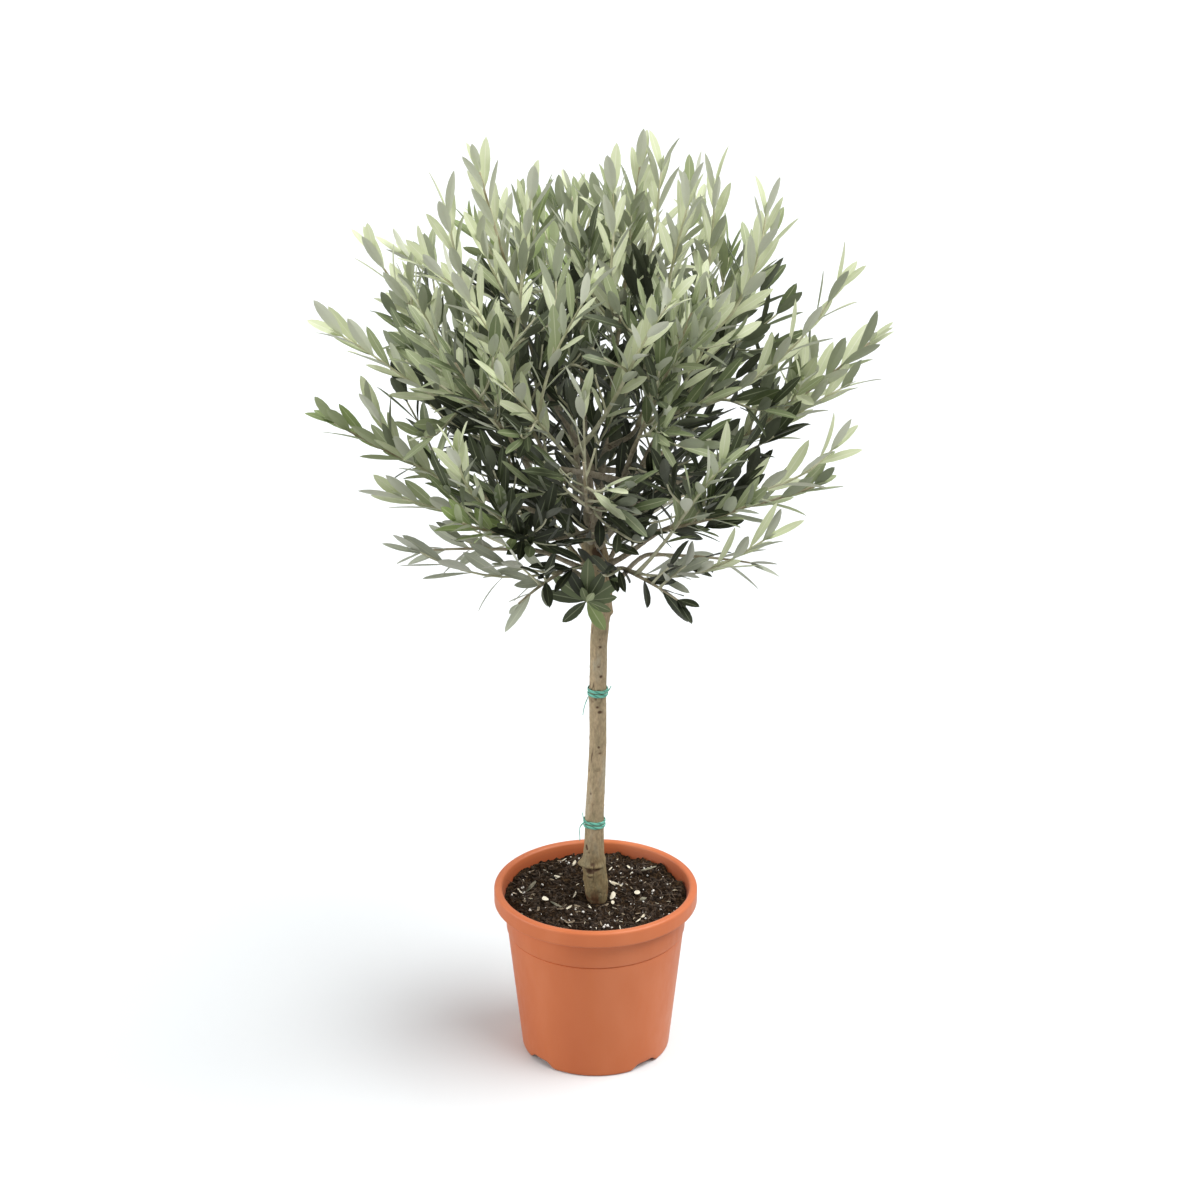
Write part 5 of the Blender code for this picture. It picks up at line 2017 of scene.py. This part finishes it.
    def grow_leaf(self, twig: Twig, bud: Bud, half: int, rng: random.Random, pair: set[int]) -> None:
        """One leaf, tried at a few angles and sizes until it is clear.

        Args:
            twig: the twig that bears it.
            bud: where it starts and how it leaves.
            half: 0 or 1, which side of the twig it takes.
            rng: the random draws.
            pair: numbers of the leaves at the same bud, which it may touch.
        """
        rule = self.rule
        root, way = place_on(twig.points, bud.share)
        rise = -0.12 if MASSES[twig.mass].hangs else 0.16
        for shrink, nudge in rule.leaf_tries:
            side = across(way, bud.turn + half * math.pi + nudge)
            out = unit(way * math.cos(bud.lean) + side * math.sin(bud.lean) + UP * rise)
            upward = way + UP * 0.55
            face = unit(upward - out * np.dot(upward, out))
            roll = rng.gauss(0.0, 0.30)
            face = face * math.cos(roll) + np.cross(out, face) * math.sin(roll)
            length = rule.leaf_length * shrink * bud.size * (1.0 + rng.uniform(-0.16, 0.14))
            width = rule.leaf_width * math.sqrt(shrink * bud.size) * (1.0 + rng.uniform(-0.16, 0.18))
            tip = root + out * length
            if not self.within_reach(tip, twig.reach) or self.opened((root + tip) / 2, tip):
                continue
            shape = leaf_test_shape(root, out, face, length, width)
            if self.thicket.crossed(shape, pair | {twig.number}):
                continue
            pair.add(self.thicket.add(shape))
            tone = self.vary(twig.tone, rng)
            bends = rng.gauss(0.03, 0.05), rng.uniform(0.10, 0.32), rng.gauss(0.0, 0.22)
            self.leaves.append(Leaf(root, out, face, length, width, *bends, tone))
            return

    def vary(self, tone: LeafTone, rng: random.Random) -> LeafTone:
        """The tone of one leaf.

        Args:
            tone: the spray's tone.
            rng: the random draws.

        Returns:
            The same tone for most leaves, a step lighter or darker for a few.
        """
        steps = list(TONE_FLOORS)
        step = rng.choice((-1, 1)) if rng.random() < 0.24 else 0
        if step == 0 or tone not in steps:
            return tone
        return steps[min(max(steps.index(tone) + step, 0), len(steps) - 1)]

    def grow_pair(self, twig: Twig, bud: Bud, rng: random.Random) -> None:
        """Two opposite leaves at one bud.

        Args:
            twig: the twig that bears them.
            bud: where they start and how the first one leaves.
            rng: the random draws.
        """
        pair: set[int] = set()
        for half in (0, 1):
            self.grow_leaf(twig, bud, half, rng, pair)

    def grow_leaves(self, twig: Twig, rng: random.Random, bare: float | None = None) -> None:
        """Opposite pairs along a twig, each pair a quarter turn on, then the tip's own small pair.

        Args:
            twig: the twig.
            rng: the random draws.
            bare: the length at its foot without leaves, where it isn't the rule's.
        """
        rule = self.rule
        length = path_length(twig.points)
        if bare is None:
            bare = rule.bare_feet[twig.order]
        usable = max(length - bare, 0.0)
        spacing = rule.pair_spacing * (1.35 if MASSES[twig.mass].hangs else 1.0)
        pairs = max(1, int(round(usable / spacing)) + 1)
        turn = rng.uniform(0, math.pi)
        for number in range(pairs):
            along = number / max(pairs - 1, 1)
            share = min((bare + usable * along**0.94) / length, 0.985)
            lean = math.radians(43 - 23 * share) * (1.0 + rng.uniform(-0.22, 0.22))
            scale = 1.0 - 0.10 * max(0.0, (along - 0.72) / 0.28)
            scale *= 0.86 + 0.14 * min(1.0, along / 0.2)
            self.grow_pair(twig, Bud(share, turn, lean, scale if pairs > 1 else 0.75), rng)
            turn += math.pi / 2 + rng.uniform(-0.25, 0.25)
        self.grow_pair(twig, Bud(0.995, turn, math.radians(12), 0.30), rng)

    def grow_leaders(self) -> None:
        """The leading shoots: each one's foot is drawn to the nearest limb or stem."""
        rng = random.Random(self.rule.seed * 4)
        fork = self.limbs.paths["front_fork"]
        grown = []
        for leader in LEADERS:
            wood = np.concatenate((self.wood()[0], fork[12:]))
            nearest = np.argmin(np.linalg.norm(wood - np.array(leader.points[0]), axis=1))
            points = through((wood[nearest], *leader.points[1:]), 8)
            radii = leader.thick, self.rule.twig_tips[0]
            shape = tube_test_shape(points[1:], np.linspace(*radii, 7))
            index = int(np.argmax(self.aims @ unit(points[-1] - FORK)))
            twig = self.add_twig(points, 1, radii, index, rng, shape, leader.light)
            twig.reach = np.linalg.norm(points[-1] - FORK) + self.rule.leaf_length
            grown.append((twig, leader))
        for twig, leader in grown:
            self.grow_leaves(twig, rng, leader.bare)
        shown = [twig.points for twig, leader in grown if leader.shown]
        self.lane_feet = np.concatenate((fork[8::4], np.array(OPEN_HEART), *shown))

    def grow_mass(self, index: int, stem: Twig) -> None:
        """Side twigs by the rule of the solids, then the finer twigs and the leaves.

        Args:
            index: the mass.
            stem: its stem.
        """
        rule = self.rule
        mass = MASSES[index]
        rng = random.Random(rule.seed + index)
        extra = random.Random(rule.seed * 2 + index)
        grown = [stem]
        for number in range(mass.twigs):
            share = 0.04 + 0.74 * (number + rng.uniform(0.2, 0.8)) / mass.twigs
            turn = number * rule.golden_angle + rng.uniform(-0.4, 0.4)
            lean = math.radians(rng.uniform(40, 58))
            length = rule.side_length * (1.0 - 0.45 * share) * (1.0 + rng.uniform(-0.2, 0.2))
            grown.append(self.grow_side(stem, Bud(share, turn, lean, length), 1, extra))
        grown = [twig for twig in grown if twig is not None]
        if not mass.hangs:
            for parent in list(grown):
                grown += self.grow_fine(parent, extra)
        for twig in grown:
            self.grow_leaves(twig, extra)

    def grow_fine(self, parent: Twig, rng: random.Random) -> list[Twig]:
        """Finer twigs: between the side twigs on a stem, and a few on each side twig.

        Args:
            parent: the stem or side twig.
            rng: the random draws.

        Returns:
            The new twigs.
        """
        rule = self.rule
        gap, along, size = (0.045, 0.66, 1.0) if parent.order == 0 else (0.070, 0.60, 0.70)
        count = int(round(path_length(parent.points) / gap))
        grown = []
        for number in range(count):
            share = 0.08 + along * (number + rng.uniform(0.1, 0.9)) / count
            turn = number * rule.golden_angle + rng.uniform(-0.5, 0.5) + 1.1
            lean = math.radians(rng.uniform(34, 56))
            reach = rule.fine_length * (1.0 - 0.35 * share) * rng.uniform(0.65, 1.25) * size
            grown.append(self.grow_side(parent, Bud(share, turn, lean, reach), 2, rng))
        return [twig for twig in grown if twig is not None]

    def grow(self) -> None:
        """Stems, leading shoots, masses, shoots in the rooms between, and the sprig below the knuckle."""
        rng = random.Random(self.rule.seed)
        stems = [self.grow_stem(index, rng) for index in range(len(MASSES))]
        self.grow_leaders()
        for index, stem in enumerate(stems):
            self.grow_mass(index, stem)
        self.fill()
        self.grow_sprig()

    def room_at(self, elevation: float, share: float, aside: float) -> float:
        """How far apart shoots stand: wider low down, outside and at the sides than in the heart.

        Args:
            elevation: in degrees, seen from the fork.
            share: the distance as a share of the crown's reach.
            aside: the distance from the middle, left or right.

        Returns:
            The room in metres.
        """
        rooms = (0.050, 0.048, 0.038, 0.030, 0.033, 0.039)
        room = float(np.interp(elevation, (-40, -5, 15, 40, 62, 90), rooms))
        airy = float(np.interp(elevation, (20.0, 42.0), (1.20, 0.35)))
        beside = float(np.interp(aside, (0.07, 0.15), (0.0, 1.0)))
        return room * (0.62 + 0.55 * share) * (1.0 + airy * beside)

    def fill(self) -> None:
        """Shoots that grow from the nearest wood below into the rooms that the masses leave."""
        rule = self.rule
        rng = random.Random(rule.seed * 3)
        wood, wood_ways, owners = self.wood()
        reached = np.concatenate([twig.points for twig in self.twigs if twig.order < 3])
        for _ in range(rule.fill_tries):
            azimuth = rng.uniform(0.0, 360.0)
            elevation = math.degrees(math.asin(rng.uniform(-0.30, 1.0)))
            outlier = rng.random() < rule.outliers and 25.0 < azimuth < 155.0 and elevation < 62.0
            share = rng.uniform(1.02, 1.16) if outlier else rng.uniform(0.26, 0.97)
            limit = rule.reach_at(elevation) - rule.leaf_length * 0.5
            target = FORK + heading(azimuth, elevation) * limit * share
            near = np.linalg.norm(reached - target, axis=1).min()
            room = self.room_at(elevation, share, abs(target[0] - FORK[0]))
            if near < room * (1.5 if outlier else 1.0) or self.opened(target):
                continue
            if not self.within_reach(target, limit * share + 0.01):
                continue
            off = target - wood
            far = np.linalg.norm(off, axis=1)
            straight = (off * wood_ways).sum(axis=1) / far
            usable = (far > rule.fill_shortest) & (far < rule.fill_longest) & (straight > 0.25)
            usable &= off[:, 2] > -0.25 * far
            if not usable.any():
                continue
            cost = np.where(usable, far * (1.6 - straight), np.inf)
            for place in np.argsort(cost)[:3]:
                if not np.isfinite(cost[place]):
                    break
                twig = self.grow_shoot(wood[place], wood_ways[place], target, owners[place], rng)
                if twig is None:
                    continue
                twig.reach = limit * share + rule.leaf_length if outlier else 0.0
                self.grow_leaves(twig, rng)
                reached = np.concatenate((reached, twig.points))
                wood = np.concatenate((wood, twig.points[2:6]))
                wood_ways = np.concatenate((wood_ways, ways(twig.points)[2:6]))
                owners = owners + [(twig.number, twig.mass)] * 4
                break

    def wood(self) -> tuple[Array, Array, list[tuple[int, int]]]:
        """Wood that can bear shoots: boughs, stems and side twigs.

        Returns:
            Points on it, the way it grows there, and the shape and mass that each is part of.
        """
        bearers = []
        for index, mass in enumerate(MASSES):
            path = self.limbs.paths[mass.name]
            upper = slice(len(path) // 6, None, 2)
            bearers.append((path[upper], ways(path)[upper], (self.limb_numbers[mass.name], index)))
        for twig in self.twigs:
            if twig.order <= 1:
                bearers.append((twig.points[1:-2], ways(twig.points)[1:-2], (twig.number, twig.mass)))
        points, directions, owners = zip(*bearers)
        each = [owner for part, owner in zip(points, owners) for _ in part]
        return np.concatenate(points), np.concatenate(directions), each

    def grow_shoot(self, start: Array, way: Array, target: Array,
                   owner: tuple[int, int], rng: random.Random) -> Twig | None:
        """A shoot from wood to a target, bending up at its end.

        Args:
            start, way: a point on the wood, and the way it grows there.
            target: where the shoot ends.
            owner: the wood's shape and mass.
            rng: the random draws.

        Returns:
            The shoot, or none if it would cross something.
        """
        straight = unit(target - start)
        ending = unit(straight + UP * 0.55 + unit(target - FORK) * 0.25)
        points = bezier(start, unit(straight + way * 0.35), target, ending, 8)
        radii = self.rule.twig_bases[0], self.rule.twig_tips[0]
        shape = tube_test_shape(points[1:], np.linspace(*radii, 7))
        if self.thicket.crossed(shape, {owner[0], self.limb_numbers[MASSES[owner[1]].name]}):
            return None
        return self.add_twig(points, 1, radii, owner[1], rng, shape)

    def grow_sprig(self) -> None:
        """A short shoot from the trunk that looks at the viewer, its leaves spread like a star."""
        start = self.limbs.trunk.centre(np.array(0.520)) + np.array((-0.006, -0.006, 0.0))
        end = np.array((-0.0085, -0.046, 0.5190))
        leaving, ending = np.array((-0.3, -1.0, 0.2)), np.array((0.1, -1.0, 0.25))
        points = bezier(start, unit(leaving), end, unit(ending), 8)
        shape = tube_test_shape(points[2:], np.linspace(0.0011, 0.0009, 6))
        number = self.thicket.add(shape)
        twig = Twig(points, 1, 0.0013, 0.0010, LeafTone.OLIVE, number, 0)
        self.twigs.append(twig)
        way = ways(points)[-1]
        side = unit(np.cross(UP, way))
        rise = np.cross(way, side)
        # Each leaf's angle round the shoot, length, width, lean forward and tone; the darker tones here
        # are painted shade.
        star = (
            (88, 0.046, 0.0145, 0.25, LeafTone.OLIVE),
            (140, 0.044, 0.0135, 0.18, LeafTone.OLIVE),
            (168, 0.044, 0.0120, 0.05, LeafTone.SHADE),
            (222, 0.032, 0.0110, 0.02, LeafTone.SHADE),
            (35, 0.046, 0.0130, 0.20, LeafTone.OLIVE),
            (8, 0.030, 0.0100, 0.10, LeafTone.OLIVE),
            (-22, 0.026, 0.0090, 0.15, LeafTone.OLIVE),
            (-58, 0.034, 0.0135, 0.12, LeafTone.FRESH),
            (118, 0.040, 0.0125, 0.30, LeafTone.DEEP),
            (62, 0.038, 0.0120, 0.34, LeafTone.SHADE),
            (105, 0.024, 0.0080, 0.9, LeafTone.OLIVE),
            (60, 0.020, 0.0070, 1.1, LeafTone.SAGE),
        )
        for angle, length, width, forward, tone in star:
            a = math.radians(angle)
            out = unit(side * math.cos(a) + rise * math.sin(a) + way * forward)
            face = unit(way - out * np.dot(way, out))
            root = points[-1] - way * 0.002 * (1.0 - forward)
            self.leaves.append(Leaf(root, out, face, length, width, 0.03, 0.22, 0.0, tone))

    # ---- pieces of the crown
    def leaf_stations(self) -> tuple[Array, Array]:
        """The outline of a leaf at shares of its length, as a product of two powers.

        Returns:
            The shares, and the half width at each: a stalk, then a blade widest past its middle.
        """
        share = np.array((0.0, 0.07, 0.20, 0.38, 0.58, 0.77, 0.92, 1.0))
        blade = np.clip((share - 0.04) / 0.96, 0.0, 1.0)
        lens = blade**0.84 * (1.0 - blade) ** 0.72
        lens /= 0.84**0.84 * 0.72**0.72 / 1.56**1.56
        half = np.maximum(lens, np.where(share < 0.1, 0.095, 0.03))
        return share, half

    def leaf_points(self, leaves: list[Leaf]) -> Array:
        """Points of many leaves: rows along the length, six round each section.

        A section has its two edges, the midrib's two points between them on top and two
        below.  The blade folds up along the midrib, its spine bends by the square of the
        share, and the section turns by the twist.

        Args:
            leaves: the leaves.

        Returns:
            (leaves, rows, 6, 3) positions.
        """
        share, half = self.leaf_stations()
        names = ("root", "way", "face", "length", "width", "droop", "fold", "twist")
        columns = (np.array([getattr(leaf, name) for leaf in leaves]) for name in names)
        root, way, face, length, width, droop, fold, twist = columns
        side = np.cross(way, face)
        spine = root[:, None] + way[:, None] * (share * length[:, None])[..., None]
        bend = -droop[:, None] * share**2 * length[:, None]
        spine = spine + face[:, None] * bend[..., None]
        turn = twist[:, None] * (share - 0.3)
        across_way = side[:, None] * np.cos(turn)[..., None] + face[:, None] * np.sin(turn)[..., None]
        normal = face[:, None] * np.cos(turn)[..., None] - side[:, None] * np.sin(turn)[..., None]
        reach = half * width[:, None] / 2
        thickness = 0.00040 + 0.0004 * np.exp(-share / 0.06)
        section = ((-1.0, 0.0), (-0.085, 0.45), (0.085, 0.45), (1.0, 0.0), (0.10, -0.75), (-0.10, -0.75))
        points = []
        for at, level in section:
            lift = np.abs(at) * reach * np.tan(fold)[:, None] + level * thickness
            points.append(spine + across_way * (at * reach)[..., None] + normal * lift[..., None])
        return np.stack(points, axis=2)

    def build_leaves(self) -> list[Piece]:
        """The leaves of each tone as one piece of closed thin blades.

        Returns:
            The pieces.
        """
        pieces = []
        nodes = ["foliage_" + mass.name for mass in MASSES]
        for tone in LeafTone:
            leaves = [leaf for leaf in self.leaves if leaf.tone is tone]
            if not leaves:
                continue
            colours = LEAF_COLOURS[tone]
            finishes = [
                LeafSkin("leaf_upper_" + tone.value, colours.upper, 0.42, 0.04).material(),
                LeafSkin("leaf_under_" + tone.value, colours.under, 0.70, 0.15).material(),
                LeafSkin("leaf_midrib_" + tone.value, colours.midrib, 0.60).material(),
            ]
            points = self.leaf_points(leaves)
            count, rows, sides = points.shape[:3]
            faces = [part[:, ::-1] for part in tube_faces(count, rows, sides)]
            slots = [np.tile((0, 2, 0, 1, 1, 1), (rows - 1) * count), np.ones(2 * count)]
            piece = make_piece("leaves_" + tone.value, points, faces, finishes, slots, 62)
            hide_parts(*nodes)
            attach(piece, BODY)
            pieces.append(piece)
        return pieces

    def build_twigs(self) -> list[Piece]:
        """Ripened twigs and young shoots, each kind as one piece.

        Returns:
            The pieces.
        """
        kinds = (
            ("twigs_ripe", TwigSkin("ripe_twig_finish", (0.50, 0.45, 0.32), (0.30, 0.25, 0.16)), 13, 8),
            ("twigs_young", TwigSkin("young_twig_finish", (0.66, 0.65, 0.47), (0.46, 0.45, 0.29)), 8, 7),
            ("twigs_fine", TwigSkin("fine_twig_finish", (0.60, 0.61, 0.44), (0.42, 0.43, 0.28)), 8, 6),
        )
        pieces = []
        for order, (name, finish, rows, sides) in enumerate(kinds):
            twigs = [twig for twig in self.twigs if twig.order == order]
            paths = np.stack([twig.points for twig in twigs])
            share = np.linspace(0.0, 1.0, rows)
            radii = np.stack([twig.thick + (twig.thin - twig.thick) * share for twig in twigs])
            radii[:, 0] *= 1.35
            rings = tube_rings(paths, radii, sides)
            piece = make_piece(name, rings, tube_faces(len(twigs), rows, sides), [finish.material()])
            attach(piece, BODY)
            pieces.append(piece)
        return pieces


# ---- studio
@dataclass
class Studio:
    """White floor, a broad light high on the right in a white room, and the camera."""

    camera_place: Triple = (0.0045, -2.7, 1.617)
    camera_pitch: float = 22.45
    lens: float = 88.29
    sensor: float = 36.0
    floor_size: float = 60.0
    floor_bounce: Triple = (0.45, 0.45, 0.45)
    floor_seen: Triple = (0.775, 0.802, 0.812)
    sky_low: float = 0.46
    sky_high: float = 0.60
    front_share: float = 0.80

    def build(self) -> None:
        """Floor, lights and camera."""
        half = self.floor_size / 2
        corners = np.array([(x * half, y * half, 0.0) for x, y in ((-1, -1), (1, -1), (1, 1), (-1, 1))])
        board = Finish("floor_finish", 0.9)
        board.shader.inputs["Specular IOR Level"].default_value = 0.0
        rays = board.node("LightPath", {}).outputs["Is Camera Ray"]
        board.colour(board.mix(rays, self.floor_bounce, self.floor_seen))
        floor = make_piece("floor", corners, [np.array([(0, 1, 2, 3)])], [board.material])
        self.sky()
        self.sun("key", (0.49, -0.14, 0.86), 3.25, 52.0)
        self.sun("left", (-0.97, -0.20, 0.12), 2.3, 60.0)
        self.camera()
        bpy.context.scene.view_settings.view_transform = "Standard"

    def sky(self) -> None:
        """A white room: bright overhead and behind, dim in front, plain white where it is seen."""
        world = bpy.data.worlds.new("studio")
        bpy.context.scene.world = world
        board = NodeBoard(world)
        background = board.nodes["Background"]
        background.inputs["Color"].default_value = (1.0, 1.0, 1.0, 1.0)
        where = board.node("TexCoord", {}).outputs["Generated"]
        axes = board.node("SeparateXYZ", {0: where}).outputs
        overhead = board.spread(axes["Z"], -0.15, 0.85, self.sky_low, self.sky_high)
        behind = board.spread(axes["Y"], -0.9, 0.4, self.front_share, 1.0)
        both = board.node("Math", {0: overhead, 1: behind}, operation="MULTIPLY")
        rays = board.node("LightPath", {}).outputs["Is Camera Ray"]
        seen = board.node("Mix", {0: rays, 2: both.outputs[0], 3: 1.0})
        board.links.new(seen.outputs[0], background.inputs["Strength"])

    def sun(self, name: str, towards: Triple, strength: float, spread: float) -> None:
        """A soft sun.

        Args:
            name: the lamp's name.
            towards: where it shines from.
            strength: its power.
            spread: how wide it looks, in degrees.
        """
        light = bpy.data.lights.new(name, "SUN")
        light.energy = strength
        light.angle = math.radians(spread)
        lamp = bpy.data.objects.new(name, light)
        lamp.rotation_euler = Vector(towards).to_track_quat("Z", "Y").to_euler()
        bpy.context.scene.collection.objects.link(lamp)

    def camera(self) -> None:
        """The camera at the front, looking down on the tree."""
        data = bpy.data.cameras.new("camera")
        data.lens = self.lens
        data.sensor_width = self.sensor
        data.sensor_fit = "HORIZONTAL"
        data.clip_end = 100.0
        camera = bpy.data.objects.new("camera", data)
        camera.location = self.camera_place
        camera.rotation_euler = (math.radians(90.0 - self.camera_pitch), 0.0, 0.0)
        bpy.context.scene.collection.objects.link(camera)
        bpy.context.scene.camera = camera


def report(pieces: list[Piece]) -> None:
    """Log each piece and its number of triangles.

    Args:
        pieces: what was just made.
    """
    for piece in pieces:
        triangles = sum(len(face.vertices) - 2 for face in piece.data.polygons)
        log.info("%s: %d triangles", piece.name, triangles)


def main() -> None:
    """Build the tree's pieces in order, then the studio."""
    logging.basicConfig(level=logging.INFO, format="%(name)s %(message)s")
    report([NurseryPot().build()])
    report(PottingSoil().build())
    trunk = Trunk()
    report([trunk.build()])
    twine = Twine().material()
    upper_ends = (
        ((0.0100, -0.0062, 0.4045), (0.0130, -0.0075, 0.4060), (0.0158, -0.0075, 0.4115)),
        ((-0.0074, -0.0072, 0.3995), (-0.0112, -0.0085, 0.3900), (-0.0128, -0.0070, 0.3790)),
    )
    lower_ends = (
        ((-0.0095, -0.0072, 0.2590), (-0.0125, -0.0080, 0.2630), (-0.0136, -0.0060, 0.2690)),
        ((-0.0108, -0.0066, 0.2590), (-0.0150, -0.0075, 0.2560), (-0.0162, -0.0080, 0.2380)),
    )
    report([TwineTie("twine_upper", "tie_upper", 0.402, upper_ends).build(trunk, twine)])
    report([TwineTie("twine_lower", "tie_lower", 0.255, lower_ends).build(trunk, twine)])
    limbs = Limbs(trunk)
    report([limbs.build()])
    crown = Crown(limbs, GrowthRule())
    crown.grow()
    log.info("crown: %d twigs, %d leaves", len(crown.twigs), len(crown.leaves))
    report(crown.build_twigs())
    report(crown.build_leaves())
    Studio().build()


if __name__ == "__main__":
    main()
